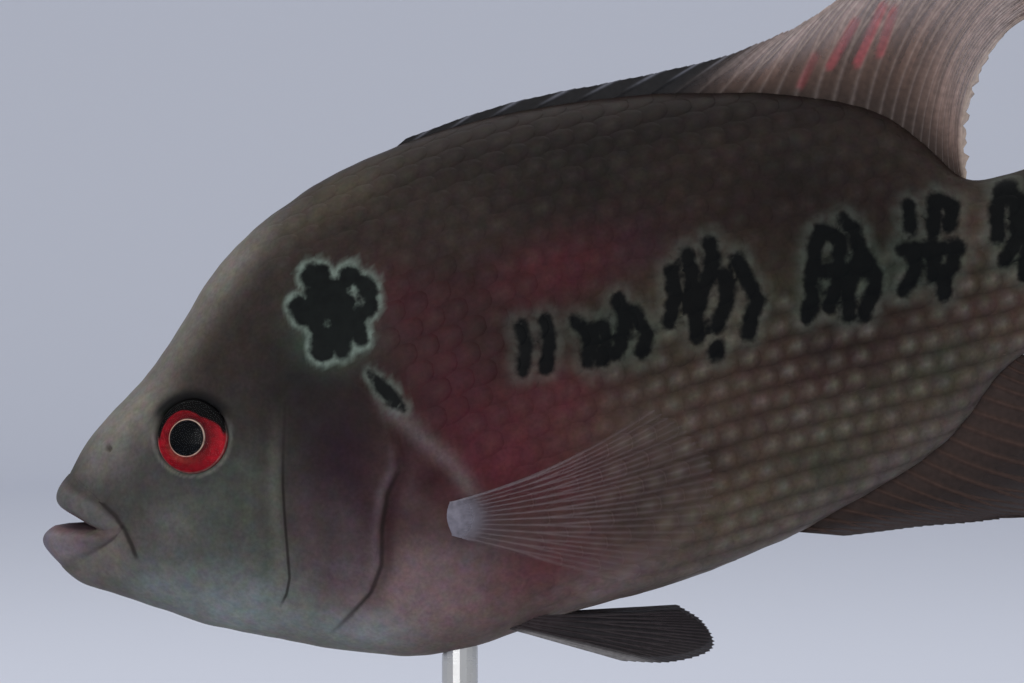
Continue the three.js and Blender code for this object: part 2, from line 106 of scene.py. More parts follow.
def section(u, angle):
    """y = w |sin a|^p and v = level + h cos a, where h reaches the back or the belly and p is the bulge."""
    c, s = np.cos(angle), np.sin(angle)
    middle = level(u)
    height = np.where(c > 0, back(u) - middle, middle - belly(u))
    y = half_width(u) * np.abs(s) ** np.where(c > 0, BULGE_ABOVE, BULGE_BELOW) * np.sign(s)
    return y, middle + height * c


# Lines and hollows of the flesh
# The eye socket, the nostril, the edges of cheek and gill cover, the fold behind the jaw, the ridge of the
# shoulder and the dents and swellings between them. Lines are paths in the side view, hollows have a centre
# and a radius.
EYE = (28.7, 7.4)
NOSTRIL = (12.6, 9.2)
CHEEK_LINE = [
    (48.4, 11.5), (47.2, 8.5), (44.7, 0.3), (43, -5.9), (41.7, -12.1), (40.4, -19), (39.6, -23),
    (38.2, -25.8), (36.2, -28),
]
GILL_LINE = [
    (56.5, 14.6), (60, 11.6), (63.2, 7.4), (65.2, 2), (65.8, -4), (64.8, -8.5), (61.6, -12.4), (58.9, -18.3),
    (57, -25), (53.7, -29.5), (48.8, -32.6), (42.5, -36.2),
]
JAW_FOLD = [(9, -0.7), (10.7, -3.4), (11.7, -6.4), (12.2, -9.6), (12.5, -12.9)]
SHOULDER = [(62.3, 8.4), (66, 3.2), (70.8, -4.6), (74.5, -9.7), (77, -17.1)]
ARMPIT = (70.6, -13)
SWELLINGS = [
    (*ARMPIT, 3.6, -1.3), (70, -19.5, 4.2, 1.0), (33, -11, 10, 0.7), (20, 8, 6, 0.25), (42, 9, 6, -0.4),
    (17, -3, 4, -0.3), (46, -8, 3.5, -0.2), (37, 1, 3, -0.15),
]
SOCKET_DEPTH = 3.4
SHOULDER_WIDTH = 1.7


def step(a, b, x):
    """0 below a, 1 above b, and 3t^2 - 2t^3 between."""
    t = np.clip((x - a) / (b - a), 0, 1)
    return t * t * (3 - 2 * t)


def window(a, b, c, d, x):
    """Rises from 0 to 1 between a and b and falls back to 0 between c and d."""
    return step(a, b, x) * (1 - step(c, d, x))


def bell(x, width):
    """exp(-(x / width)^2): 1 in the middle, falling off to both sides."""
    return np.exp(-((x / width) ** 2))


def path_distance(path, u, v):
    """Distance to a path, the same with a plus on the left of its direction, and the share of the way."""
    best = np.full(np.shape(u), 1e9)
    signed = np.zeros(np.shape(u))
    along = np.zeros(np.shape(u))
    for k, (a, b) in enumerate(zip(path, path[1:])):
        du, dv = b[0] - a[0], b[1] - a[1]
        t = np.clip(((u - a[0]) * du + (v - a[1]) * dv) / (du * du + dv * dv), 0, 1)
        away = np.hypot(u - a[0] - t * du, v - a[1] - t * dv)
        cross = du * (v - a[1]) - dv * (u - a[0])
        nearer = away < best
        best = np.where(nearer, away, best)
        signed = np.where(nearer, np.sign(cross) * away, signed)
        along = np.where(nearer, (k + t) / (len(path) - 1), along)
    return best, signed, along


def relief(u, v):
    """Height over the plain body form in millimetres: the sum of each line's or hollow's own profile."""
    rim = np.hypot((u - EYE[0]) / 0.965, (v - EYE[1]) / 0.978)
    up = SOCKET_DEPTH * (step(6.1, 7.3, rim) - 1) + 0.4 * bell(rim - 7.9, 0.75)
    hole = np.hypot(u - NOSTRIL[0], v - NOSTRIL[1])
    up += 0.25 * bell(hole - 1.15, 0.4) - 0.8 * np.exp(-((hole / 0.6) ** 4))
    _, cheek, along = path_distance(CHEEK_LINE, u, v)
    fade = window(0, 0.15, 0.9, 1, along)
    up += fade * 0.35 * np.exp(np.minimum(cheek, 0) / 2.5) * (1 - step(-0.3, 0.3, cheek))
    up -= fade * 0.3 * np.exp(-np.maximum(cheek, 0) / 1.2) * step(-0.3, 0.3, cheek)
    _, gill, along = path_distance(GILL_LINE, u, v)
    over = 0.6 * np.exp(np.minimum(gill, 0) / 5)
    under = -0.7 * np.exp(-np.maximum(gill, 0) / 2.2)
    up += window(0, 0.25, 0.93, 1, along) * (over + (under - over) * step(-0.35, 0.35, gill))
    away, fold, along = path_distance(JAW_FOLD, u, v)
    up += step(0.1, 0.5, along) * (0.5 * bell(fold + 1.3, 1.1) - 0.6 * bell(away, 0.5))
    away, _, _ = path_distance(SHOULDER, u, v)
    up += 0.6 * bell(away, SHOULDER_WIDTH)
    for centre_u, centre_v, radius, height in SWELLINGS:
        up += height * bell(np.hypot(u - centre_u, v - centre_v), radius)
    up += 0.05 * np.sin(0.83 * u + 1.3 * np.sin(0.31 * v)) * np.sin(0.71 * v + 0.9 * np.sin(0.27 * u))
    return up


def skin_point(u, angle, lift=0.0):
    """The body form at (u, angle) moved along its normal by the relief and by lift, as u, y, v."""
    e = 1e-3
    y, v = section(u, angle)
    yu, vu = section(u + e, angle)
    ya, va = section(u, angle + e)
    du = np.stack([np.full(np.shape(y), e), yu - y, vu - v], -1)
    da = np.stack([np.zeros(np.shape(y)), ya - y, va - v], -1)
    normal = np.cross(du, da)
    normal /= np.linalg.norm(normal, axis=-1, keepdims=True) + 1e-12
    move = (relief(u, v) + lift)[..., None] * normal
    return u + move[..., 0], y + move[..., 1], v + move[..., 2]


# Colours and markings
# A grey-brown fish with a wine-red throat and flank. Soft patches of the named tones lie over a shading
# from a pale belly to a dark back, partly the fish's own countershading and partly painted shade on its
# upper side; each patch has its centre, reach, tilt, tone and strength. Round the black marks the skin
# is a pale green.
TONES = {
    "coal": (17, 16, 17), "peat": (34, 26, 24), "moss": (30, 33, 24), "bark": (45, 38, 35),
    "russet": (60, 41, 39), "plum": (36, 22, 31), "wine": (62, 25, 33), "brick": (80, 34, 42),
    "rose": (92, 50, 60), "mauve": (128, 109, 113), "slate": (60, 58, 57), "lichen": (71, 75, 70),
    "olive": (51, 55, 45), "umber": (76, 61, 53), "taupe": (84, 76, 64), "dusk": (78, 68, 73),
    "stone": (90, 82, 79), "ash": (98, 95, 92), "sage": (82, 104, 91), "silver": (114, 122, 122),
    "bone": (128, 122, 114), "chalk": (134, 142, 147),
}
# belly (0) to back (1): partly the fish's countershading, partly painted shade on its upper side
SHADE = [
    (0, "stone"), (0.12, "umber"), (0.3, "russet"), (0.5, "moss"), (0.7, "peat"), (0.88, "bark"), (1, "peat"),
]
PATCHES = [
    (22, 2, 24, 26, 0, "slate", 0.95),
    (46, 34, 14, 10, 40, "bark", 0.75),
    (31, 19, 10, 9, 40, "bark", 0.8),
    (11, 8, 7, 6, 40, "ash", 0.7),
    (31, -24, 15, 8, -25, "silver", 0.85),
    (29, -8, 12, 9, 0, "lichen", 0.7),
    (41, 6, 6, 9, 0, "bark", 0.7),
    (2, -11, 5, 5, 0, "ash", 0.8),
    (15, -19, 8, 5, -35, "silver", 0.7),
    (55, -4, 9, 15, 0, "plum", 0.9),
    (52, 14, 9, 8, 0, "coal", 0.5),
    (50, -25, 7, 6, 20, "dusk", 0.75),
    (66, 34, 14, 10, 0, "bark", 0.5),
    (79, 2, 13, 17, 0, "wine", 0.85),
    (84, -12, 13, 8, 0, "brick", 0.8),
    (98, -4, 9, 8, 0, "brick", 0.65),
    (100, 18, 16, 7, 0, "wine", 0.5),
    (119, 20, 7, 5, 0, "plum", 0.7),
    (64, -35, 16, 8, 0, "mauve", 0.75),
    (86, -34, 14, 7, 0, "rose", 0.55),
    (118, -14, 20, 8, -5, "taupe", 0.4),
    (128, 6, 16, 11, 0, "umber", 0.5),
    (152, -20, 26, 8, 12, "olive", 0.5),
    (196, 0, 14, 11, 0, "olive", 0.6),
    (125, 41, 45, 6, -4, "coal", 0.6),
    (8, -9, 4, 5, 0, "bone", 0.5),
    (20, -8, 6, 5, 0, "ash", 0.55),
    (37, -2, 4, 6, 0, "lichen", 0.5),
    (22, 14, 6, 4, 45, "bone", 0.4),
    (40, 24, 7, 6, 40, "bark", 0.6),
    (36, -18, 6, 5, 0, "lichen", 0.6),
    (45.5, -14, 3, 9, 0, "dusk", 0.4),
    (60, 20, 7, 6, 0, "sage", 0.6),
    (72, 22, 8, 8, 0, "wine", 0.55),
    (88, 30, 13, 7, 0, "bark", 0.5),
    (110, 34, 13, 6, 0, "coal", 0.45),
    (135, 30, 12, 8, 0, "peat", 0.6),
    (152, 26, 10, 8, 0, "coal", 0.5),
    (166, 20, 9, 7, 0, "peat", 0.6),
    (140, 14, 8, 6, 0, "peat", 0.4),
    (105, -28, 10, 6, 0, "peat", 0.55),
    (122, -33, 12, 5, 0, "taupe", 0.6),
    (142, -30, 10, 5, 10, "olive", 0.6),
    (152, -8, 12, 6, 0, "peat", 0.6),
    (170, -16, 8, 7, 20, "olive", 0.6),
    (180, 6, 7, 8, 0, "umber", 0.5),
    (110, 6, 7, 6, 0, "moss", 0.55),
    (74, -27, 7, 5, 0, "dusk", 0.6),
    (63, -10, 4, 5, 0, "russet", 0.5),
    (104, 20, 13, 6, 0, "brick", 0.35),
    (93, -20, 9, 5, 0, "brick", 0.5),
    (90, -33, 9, 5, 0, "brick", 0.4),
    (64, -27, 8, 5, 0, "mauve", 0.45),
    (52, -16, 4, 7, 0, "dusk", 0.45),
    (90, 12, 8, 6, 0, "peat", 0.5),
    (120, -22, 10, 6, 0, "peat", 0.4),
    (188, -8, 8, 6, 0, "umber", 0.4),
    (44, -35, 12, 4, -33, "silver", 0.7),
    (28, -28, 9, 3, -28, "chalk", 0.6),
    (52, -37, 8, 4, -20, "chalk", 0.55),
    (31, 25, 10, 3.5, 42, "bone", 0.3),
    (43, 36, 10, 3.5, 35, "bone", 0.5),
    (96, -40, 10, 4, 0, "mauve", 0.45),
    (66, -15, 5, 8, 0, "dusk", 0.3),
    (17, 14, 8, 3, 40, "bone", 0.6),
    (66, 44, 12, 4, 15, "taupe", 0.5),
]
STREAKS = {
    "first": [
        [(98.4, 11.4), (98.1, 6.6), (96.1, 2.6)],
        [(93.7, 11.5), (93.7, 7.6), (91.8, 3.3)],
    ],
    "second": [
        [(104.0, 9.5), (105.9, 6.2), (104.3, 1.7)],
        [(108.4, 7.5), (108.4, 3.8), (106.8, 1.3)],
        [(112.6, 11.5), (112.7, 7.2), (110.1, 2.0)],
        [(114.8, 8.6), (116.1, 3.9), (114.4, 1.0)],
    ],
    "third": [
        [(123.6, 13.9), (123.1, 9.2), (120.7, 5.0)],
        [(127.1, 16.3), (127.4, 12.9), (125.0, 6.7)],
        [(132.0, 17.4), (131.7, 13.6), (128.7, 9.6), (125.7, 4.6), (125.2, 0.9)],
        [(133.1, 10.8), (132.3, 5.8), (129.0, 1.8)],
        [(136.1, 12.9), (137.0, 8.4), (138.0, 4.7), (135.8, 1.9), (134.5, -1.1)],
        [(128.3, -1.8), (127.6, -3.3)],
    ],
    "fourth": [
        [(153.0, 14.2), (150.7, 10.9), (149.0, 6.1), (147.8, 1.6), (145.9, -0.8)],
        [(153.7, 13.8), (156.0, 11.7), (154.8, 7.9), (153.1, 3.6), (150.7, -0.1)],
        [(157.6, 14.9), (159.2, 12.0), (159.2, 8.2), (157.0, 5.4), (155.1, 2.1), (153.6, -2.8)],
        [(159.4, 7.2), (160.9, 3.9), (160.2, 1.2), (158.1, -1.1), (156.6, -3.2)],
        [(149.2, 7.0), (154.3, 6.1), (160.5, 4.2)],
    ],
    "fifth": [
        [(170.4, 14.3), (169.4, 10.3)],
        [(175.2, 14.0), (173.7, 8.6)],
        [(175.7, 14.4), (178.5, 12.2), (176.7, 8.8)],
        [(166.9, 6.6), (169.2, 6.2), (168.1, 2.0), (165.2, -0.6)],
        [(172.5, 5.8), (171.4, 0.1)],
        [(177.2, 4.6), (175.2, 1.5), (173.2, -0.4), (172.4, -3.5)],
        [(169.2, 6.0), (177.4, 4.3)],
    ],
    "sixth": [
        [(188.4, 12.9), (186.4, 9.1), (185.1, 4.2)],
        [(190.3, 12.9), (189.9, 7.7), (188.4, 2.3), (185.3, -0.2)],
        [(191.6, 8.7), (191.1, 3.5), (188.3, -3.5)],
        [(194.0, 10.4), (194.1, 5.6), (192.0, -0.6), (190.1, -3.9)],
        [(189.7, 7.2), (193.7, 5.7)],
    ],
    "seventh": [
        [(203, 8), (202, 2), (200.5, -3)],
        [(206.5, 9), (206, 3), (204.5, -4)],
        [(202, 3), (206, 1)],
    ],
}
STREAK_RADIUS = {
    "first": 1.3, "second": 1.45, "third": 1.5, "fourth": 1.45, "fifth": 1.45, "sixth": 1.5, "seventh": 1.5,
}
SPOT_LOBES = [
    ((58.3, 30.7), (59.5, 30.3), 1.94), ((65.1, 28.8), (65.1, 27.8), 1.74),
    ((67.3, 25.9), (66.4, 22.7), 2.06), ((60.2, 26.6), (65.9, 24.5), 2.62),
    ((55.4, 24.6), (59.4, 22.5), 2.23), ((59.4, 22.5), (56.9, 16.9), 2.13),
    ((59.4, 25.8), (60.6, 20.5), 3.5), ((57.2, 23.5), (58.5, 18.5), 2.2), ((64.5, 21.2), (64.2, 16.7), 1.11),
    ((61.1, 21.6), (60.2, 15.8), 1.36), ((54.5, 25.9), (55.4, 24.6), 1.6),
]
SPOT_LIGHTS = [((64.8, 26.2), (66.0, 23.5), 0.6), ((58.7, 21.3), (58.9, 21.2), 0.55)]
SLASH = [(64.1, 10.2), (65.3, 7.9), (66.3, 6.1), (67.4, 3.6), (68.7, 2.1)]
FAR = 50.0
SPOT_MARGIN = 0.35


def linear(rgb):
    """A screen colour of 0 to 255 as linear light: c / 12.92 in the darks, else ((c + 0.055) / 1.055)^2.4."""
    c = np.array(rgb, float) / 255
    return np.where(c < 0.04045, c / 12.92, ((c + 0.055) / 1.055) ** 2.4)


def blended(a, b, share):
    """a + (b - a) x the share at each point; a tuple stands for a screen colour, an array for light."""
    a, b = (linear(c) if isinstance(c, tuple) else c for c in (a, b))
    return a + (b - a) * share[..., None]


def markings(u, v):
    """Distance to the black marks, minus inside them, and how pale-green the skin is round them."""
    black = np.full(np.shape(u), FAR)
    pale = np.zeros(np.shape(u))
    for name, streaks in STREAKS.items():
        reach = np.full(np.shape(u), FAR)
        for streak in streaks:
            reach = np.minimum(reach, path_distance(streak, u, v)[0] - STREAK_RADIUS[name])
        black = np.minimum(black, reach)
        pale = np.maximum(pale, 0.19 * (1 - step(0.4, 2.8, reach)))
    spot = np.full(np.shape(u), FAR)
    for a, b, radius in SPOT_LOBES:
        spot = np.minimum(spot, path_distance([a, b], u, v)[0] - radius - SPOT_MARGIN)
    for a, b, radius in SPOT_LIGHTS:
        spot = np.maximum(spot, radius - path_distance([a, b], u, v)[0])
    pale = np.maximum(pale, 1.0 - step(0.45, 1.5, spot))
    away, _, along = path_distance(SLASH, u, v)
    slash = away - 1.5 * np.sin(np.pi * np.clip(0.1 + 0.8 * along, 0, 1))
    pale = np.maximum(pale, 0.5 * (1 - step(0.3, 1.5, slash)))
    return np.minimum(np.minimum(black, spot), slash), pale


def tint(u, v):
    """Colour without the black marks: each patch by strength x exp(-d^2), then brow, cheek, gill and eye;
    the brow gets a painted rim light, the gill edge and the armpit get painted shade.
    """
    share = np.clip((v - belly(u)) / (back(u) - belly(u)), 0, 1)
    heights, tones = zip(*SHADE)
    keys = np.array([linear(TONES[tone]) for tone in tones])
    colour = np.stack([np.interp(share, heights, keys[:, k]) for k in range(3)], -1)
    for centre_u, centre_v, reach_u, reach_v, tilt, tone, strength in PATCHES:
        c, s = math.cos(math.radians(tilt)), math.sin(math.radians(tilt))
        along = (u - centre_u) * c + (v - centre_v) * s
        across = (v - centre_v) * c - (u - centre_u) * s
        colour = blended(colour, TONES[tone], strength * bell(along, reach_u) * bell(across, reach_v))
    # painted rim light: a pale band along the top of the head, partly a paler nape
    brow_rim_light = np.exp(-np.clip(back(u) - v, 0, 99) / 3.6) * window(4, 12, 42, 66, u)
    colour = blended(colour, (132, 128, 123), 0.45 * brow_rim_light)
    _, cheek, along = path_distance(CHEEK_LINE, u, v)
    band = bell(cheek + 1.7, 1.3) * window(0.1, 0.35, 0.8, 1, along)
    colour = blended(colour, (98, 98, 90), 0.4 * band)
    _, gill, along = path_distance(GILL_LINE, u, v)
    margin = bell(gill + 1.3, 0.9) * window(0.3, 0.5, 0.8, 1, along)
    colour = blended(colour, (92, 80, 86), 0.45 * margin)
    # painted shadow behind the gill cover's edge and painted shade in the armpit hollow
    gill_slit_shadow = 0.6 * bell(gill - 1.2, 1.2) * window(0.15, 0.35, 0.6, 0.95, along)
    hollow = 0.75 * bell(np.hypot(u - ARMPIT[0], v - ARMPIT[1]), 3.2)
    colour = blended(colour, (46, 24, 28), np.maximum(gill_slit_shadow, hollow))
    away, _, along = path_distance(SHOULDER, u, v)
    colour = blended(colour, (104, 94, 94), 0.55 * bell(away, SHOULDER_WIDTH) * step(0.05, 0.3, along))
    # painted shade in the nostril's hole
    hole = np.hypot(u - NOSTRIL[0], v - NOSTRIL[1])
    colour = blended(colour, (44, 41, 38), 0.6 * np.exp(-((hole / 0.55) ** 4)))
    # dark crescent over the eye and a pale rim under it
    rim = np.hypot(u - EYE[0], v - EYE[1])
    facing = np.degrees(np.arctan2(v - EYE[1], u - EYE[0]))
    lid = (1 - step(7.9, 9.7, rim)) * window(0, 30, 125, 155, facing)
    colour = blended(colour, (20, 20, 20), 0.97 * lid)
    under = bell(rim - 7.45, 0.3) * (1 - window(-5, 20, 150, 170, facing))
    return blended(colour, (118, 116, 108), 0.4 * under)


def crease_shade_lines(u, v):
    """Signed distance to the cheek, gill and jaw lines, and how strongly painted shade darkens each
    crease, faded out at its ends.
    """
    distances, strengths = [], []
    for path, low, high in ((CHEEK_LINE, 0.4, 0.88), (GILL_LINE, 0.6, 0.85), (JAW_FOLD, 0.0, 0.85)):
        _, signed, along = path_distance(path, u, v)
        distances.append(signed)
        strengths.append(window(low - 0.3, low, high, high + 0.15, along))
    return np.stack(distances, -1), np.stack(strengths, -1)


# Paint for the flesh
# Skin and scales share one layered paint: the tones with a fine mottling, pale halos, painted shade
# along the creases of the head and ragged black marks. It is nearly matt, with fine pores.
def feed(tree, node, inputs):
    """Sets a node's inputs to values or links them to sockets."""
    for key, value in inputs.items():
        if isinstance(value, bpy.types.NodeSocket):
            tree.links.new(value, node.inputs[key])
        else:
            node.inputs[key].default_value = value


def add_node(tree, kind, inputs, **settings):
    """A shader node of that kind with its settings and inputs."""
    node = tree.nodes.new(kind)
    for key, value in settings.items():
        setattr(node, key, value)
    feed(tree, node, inputs)
    return node


def noise(tree, place, scale, detail, output=0):
    """Cloudy noise round 0.5 with that many waves to the metre; output 1 is a colour of three such noises."""
    inputs = {"Vector": place, "Scale": scale, "Detail": detail}
    return add_node(tree, "ShaderNodeTexNoise", inputs).outputs[output]


def ramp(tree, value, low, high, to_low, to_high, kind="LINEAR"):
    """Value from low..high moved to to_low..to_high and held there."""
    inputs = {"Value": value, "From Min": low, "From Max": high, "To Min": to_low, "To Max": to_high}
    return add_node(tree, "ShaderNodeMapRange", inputs, interpolation_type=kind).outputs[0]


def mixed(tree, share, a, b, blend="MIX"):
    """Colour a turned into colour b by that share."""
    inputs = {0: share, 6: a, 7: b}
    return add_node(tree, "ShaderNodeMix", inputs, data_type="RGBA", blend_type=blend).outputs[2]


def maths(tree, operation, *values):
    """One sum of values or sockets."""
    return add_node(tree, "ShaderNodeMath", dict(enumerate(values)), operation=operation).outputs[0]


def shaded(tree, colour, strength):
    """Colour times one strength for all its channels."""
    grey = add_node(tree, "ShaderNodeCombineColor", {0: strength, 1: strength, 2: strength}).outputs[0]
    return mixed(tree, 1.0, colour, grey, "MULTIPLY")


def carried(tree, name, output="Fac"):
    """What the mesh carries under that name, as a number or as a colour."""
    return add_node(tree, "ShaderNodeAttribute", {}, attribute_name=name).outputs[output]


def new_paint(name):
    """A paint, its node tree, its shader and the place on the object that its patterns use."""
    paint = bpy.data.materials.new(name)
    paint.use_nodes = True
    tree = paint.node_tree
    place = add_node(tree, "ShaderNodeTexCoord", {}).outputs["Object"]
    return paint, tree, tree.nodes["Principled BSDF"], place


def flesh_paint(name, roughness, crease_shaded=False):
    """Tint x mottling, halo, painted shade in the head's creases, black where distance + noise is below 0."""
    paint, tree, shader, place = new_paint(name)
    grain = ramp(tree, noise(tree, place, 1300, 4), 0.3, 0.7, 0.88, 1.12)
    cloud = ramp(tree, noise(tree, place, 260, 3), 0.3, 0.7, 0.88, 1.12)
    colour = shaded(tree, carried(tree, "tint", "Color"), maths(tree, "MULTIPLY", grain, cloud))
    hues = mixed(tree, 1.0, noise(tree, place, 420, 3, 1), (2, 2, 2, 1), "MULTIPLY")
    colour = mixed(tree, 1.0, colour, mixed(tree, 0.22, (1, 1, 1, 1), hues), "MULTIPLY")
    ragged = noise(tree, place, 520, 3)
    halo = maths(tree, "MULTIPLY", carried(tree, "pale"), ramp(tree, ragged, 0.3, 0.62, 0.35, 1.0))
    colour = mixed(tree, halo, colour, (*linear((104, 116, 108)), 1))
    if crease_shaded:
        lines = add_node(tree, "ShaderNodeSeparateXYZ", {0: carried(tree, "lines", "Color")}).outputs
        drawn = add_node(tree, "ShaderNodeSeparateXYZ", {0: carried(tree, "drawn", "Color")}).outputs
        # painted shade: a dark line along the cheek, gill-cover and jaw-fold creases
        for k, (width, depth) in enumerate(((0.42, 0.75), (0.7, 0.6), (0.7, 0.75))):
            away = maths(tree, "ABSOLUTE", lines[k])
            line = maths(tree, "MULTIPLY", ramp(tree, away, 0.08, width, depth, 0.0, "SMOOTHSTEP"), drawn[k])
            colour = mixed(tree, line, colour, (*linear((30, 25, 25)), 1))
    distance = maths(tree, "ADD", carried(tree, "black"), maths(tree, "MULTIPLY_ADD", ragged, 1.5, -0.75))
    mark = ramp(tree, distance, -0.5, 0.7, 0.97, 0.0, "SMOOTHSTEP")
    colour = mixed(tree, mark, colour, (*linear((5, 7, 9)), 1))
    pores = {"Height": noise(tree, place, 2200, 2), "Strength": 0.2, "Distance": 0.00006}
    bump = add_node(tree, "ShaderNodeBump", pores).outputs[0]
    looks = {"Base Color": colour, "Roughness": roughness, "Specular IOR Level": 0.06, "Normal": bump}
    feed(tree, shader, looks)
    return paint


# Skin
# One closed surface over lips, head, gill covers, body and tail stem, and in through the mouth. It takes
# the place of every flesh node, so it has no seam. The lips roll from the mouth's edge over a crest to the
# groove round them.
COLUMNS = 344
LIP_RINGS = 16
HEAD_START, HEAD_END, TAIL_ROOT = 24, 64, 209
turn = np.arange(COLUMNS) * 2 * np.pi / COLUMNS
degrees = np.degrees(turn)


def mesh_object(name, points, quads, triangles=None, uv=None, **attributes):
    """A smooth mesh from its points in metres and its faces, turned outwards by the sign of its volume."""
    quads = np.asarray(quads).reshape(-1, 4)
    triangles = np.zeros((0, 3), int) if triangles is None else np.asarray(triangles).reshape(-1, 3)
    split = np.vstack([quads[:, [0, 1, 2]], quads[:, [0, 2, 3]], triangles])
    a, b, c = (points[split[:, k]] - points.mean(0) for k in range(3))
    if np.einsum("ij,ij->", a, np.cross(b, c)) < 0:
        quads, triangles = quads[:, ::-1], triangles[:, ::-1]
    corners = np.concatenate([quads.ravel(), triangles.ravel()])
    counts = np.concatenate([np.full(len(quads), 4), np.full(len(triangles), 3)])
    mesh = bpy.data.meshes.new(name)
    mesh.vertices.add(len(points))
    mesh.vertices.foreach_set("co", points.ravel())
    mesh.loops.add(len(corners))
    mesh.loops.foreach_set("vertex_index", corners)
    mesh.polygons.add(len(counts))
    mesh.polygons.foreach_set("loop_start", np.concatenate([[0], np.cumsum(counts)[:-1]]))
    mesh.update(calc_edges=True)
    mesh.polygons.foreach_set("use_smooth", np.ones(len(counts), bool))
    for key, value in attributes.items():
        if value.ndim == 2:
            layer = mesh.attributes.new(key, "FLOAT_COLOR", "POINT")
            layer.data.foreach_set("color", np.column_stack([value, np.ones(len(value))]).ravel())
        else:
            mesh.attributes.new(key, "FLOAT", "POINT").data.foreach_set("value", value)
    if uv is not None:
        mesh.uv_layers.new(name="OFBake").data.foreach_set("uv", uv[corners].ravel())
    made = bpy.data.objects.new(name, mesh)
    bpy.context.collection.objects.link(made)
    return made


def ring_faces(rings, columns):
    """Quads between rings of points, and triangles from the end rings to the first and to the last point."""
    a, b = 1 + np.arange(columns), 1 + (np.arange(columns) + 1) % columns
    start = np.arange(rings - 1)[:, None] * columns
    quads = np.stack([start + a, start + a + columns, start + b + columns, start + b], -1).reshape(-1, 4)
    last = (rings - 1) * columns
    end = np.full(columns, rings * columns + 1)
    return quads, np.vstack([np.stack([0 * a, a, b], -1), np.stack([end, b + last, a + last], -1)])


def mouth_loop(keys):
    """Closed curves round the mouth through (degrees, even, odd, even) keys of one half and their mirror."""
    half = np.array(keys, float)
    other = half[-2:0:-1] * [-1, 1, -1, 1] + [360, 0, 0, 0]
    whole = np.vstack([half, other])
    whole = np.vstack([whole - [360, 0, 0, 0], whole, whole + [360, 0, 0, 0]])
    return [smooth(whole[:, [0, k]])(degrees) for k in (1, 2, 3)]


groove_u, groove_turn, _ = mouth_loop([
    (0, 3.5, 0, 0), (30, 4.8, 15, 0), (60, 7.3, 7, 0), (75, 9.1, 1.6, 0), (85, 10.8, 1.5, 0),
    (92, 11.7, 0.4, 0), (100, 10.4, -1, 0), (120, 5.2, -7, 0), (145, 0.4, -17, 0), (165, -2.2, -10, 0),
    (180, -3, 0, 0),
])
crest = np.stack(mouth_loop([
    (0, 0.2, 0, 3.3), (30, 1.3, 4.6, 2.2), (60, 4.4, 8.1, -0.5), (75, 6.7, 9.5, -3.0), (85, 8.1, 10.1, -4.6),
    (92, 8.9, 10.3, -5.8), (100, 7.8, 9.8, -6.5), (120, 2.8, 8.1, -6.2), (150, -2.6, 4.8, -5.2),
    (180, -4.5, 0, -4.3),
]), -1)
edge = np.stack(mouth_loop([
    (0, 0.9, 0, 0.3), (30, 1.6, 3.2, -0.3), (60, 3.6, 5.9, -2.1), (75, 5.2, 7.1, -3.7), (85, 6.2, 7.7, -4.5),
    (92, 6.4, 7.8, -4.9), (100, 5.2, 7.2, -4.9), (120, 2.2, 6.0, -4.1), (150, -0.6, 3.5, -2.9),
    (180, -1.5, 0, -2.2),
]), -1)
throat = np.array([10.5, 0, -4.4])
groove_angle = turn + np.radians(groove_turn)
groove = np.stack(skin_point(groove_u, groove_angle), -1)
inner = np.stack([edge[:, 0] + 2.6, edge[:, 1] * 0.8, (edge[:, 2] + 3.4) * 0.8 - 3.4], -1)
mouth = [throat + (inner - throat) * share for share in (0.35, 0.7)] + [inner, (inner + edge) / 2]
rings = list(mouth)
knee = 2 * crest - (groove + edge) / 2
for t in np.linspace(0, 1, LIP_RINGS + 1)[:-1]:
    rings.append((1 - t) ** 2 * edge + 2 * t * (1 - t) * knee + t * t * groove)
for s in np.linspace(0, 1, 49)[:-1] ** 1.15:
    u = groove_u + (HEAD_START - groove_u) * s
    rings.append(np.stack(skin_point(u, groove_angle + (turn - groove_angle) * s), -1))
for u in np.concatenate([np.arange(HEAD_START, HEAD_END, 0.5), np.linspace(HEAD_END, TAIL_ROOT, 128)]):
    rings.append(np.stack(skin_point(np.full(COLUMNS, u), turn), -1))
root_ring, root_middle = rings[-1], np.array([TAIL_ROOT, 0, level(TAIL_ROOT)])
for share, reach in ((0.85, 1.2), (0.45, 1.9)):
    rings.append(root_middle + [reach, 0, 0] + (root_ring - root_middle) * share)
points = np.vstack([throat, *rings, root_middle + [2.4, 0, 0]])
quads, ends = ring_faces(len(rings), COLUMNS)
colour = tint(points[:, 0], points[:, 2])
lips_from = 1 + len(mouth) * COLUMNS
outward = np.linspace(0, 1, LIP_RINGS)[:, None]
half_turn = np.minimum(degrees, 360 - degrees)
upper = np.cos(turn) > 0
tip = bell(half_turn - 180, 24)
corner = step(35, 78, np.abs(half_turn - 180)) * ~upper
lip_colour = np.where(upper[:, None], linear((86, 83, 82)), linear((114, 104, 108)))
lip_colour = blended(lip_colour, (82, 80, 94), 0.8 * tip)
lip_colour = blended((96, 76, 80), lip_colour, step(0.0, 0.3, outward))
lip_colour = blended(lip_colour, (84, 76, 73), 0.85 * corner)
# painted shade in the groove round the lips, stronger under the upper lip
fold = step(0.82, 1, outward) * (1 - 0.8 * tip) * np.where(upper, 0.8, 0.45)
lip_colour = blended(lip_colour, (58, 54, 52), fold)
colour[lips_from:lips_from + LIP_RINGS * COLUMNS] = lip_colour.reshape(-1, 3)
# inside of the mouth: its pink darkened by painted shade
colour[:lips_from] = linear((66, 54, 58))
black, pale = markings(points[:, 0], points[:, 2])
lines, drawn = crease_shade_lines(points[:, 0], points[:, 2])
skin = mesh_object(
    "skin", placed(*points.T), quads, ends, tint=colour, black=black, pale=pale, lines=lines, drawn=drawn,
)
skin.data.materials.append(flesh_paint("skin_paint", 0.5, crease_shaded=True))
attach(skin, "root")
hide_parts("head", "lower_jaw", "trunk", "tail_stem", "gill_cover_left", "gill_cover_right")


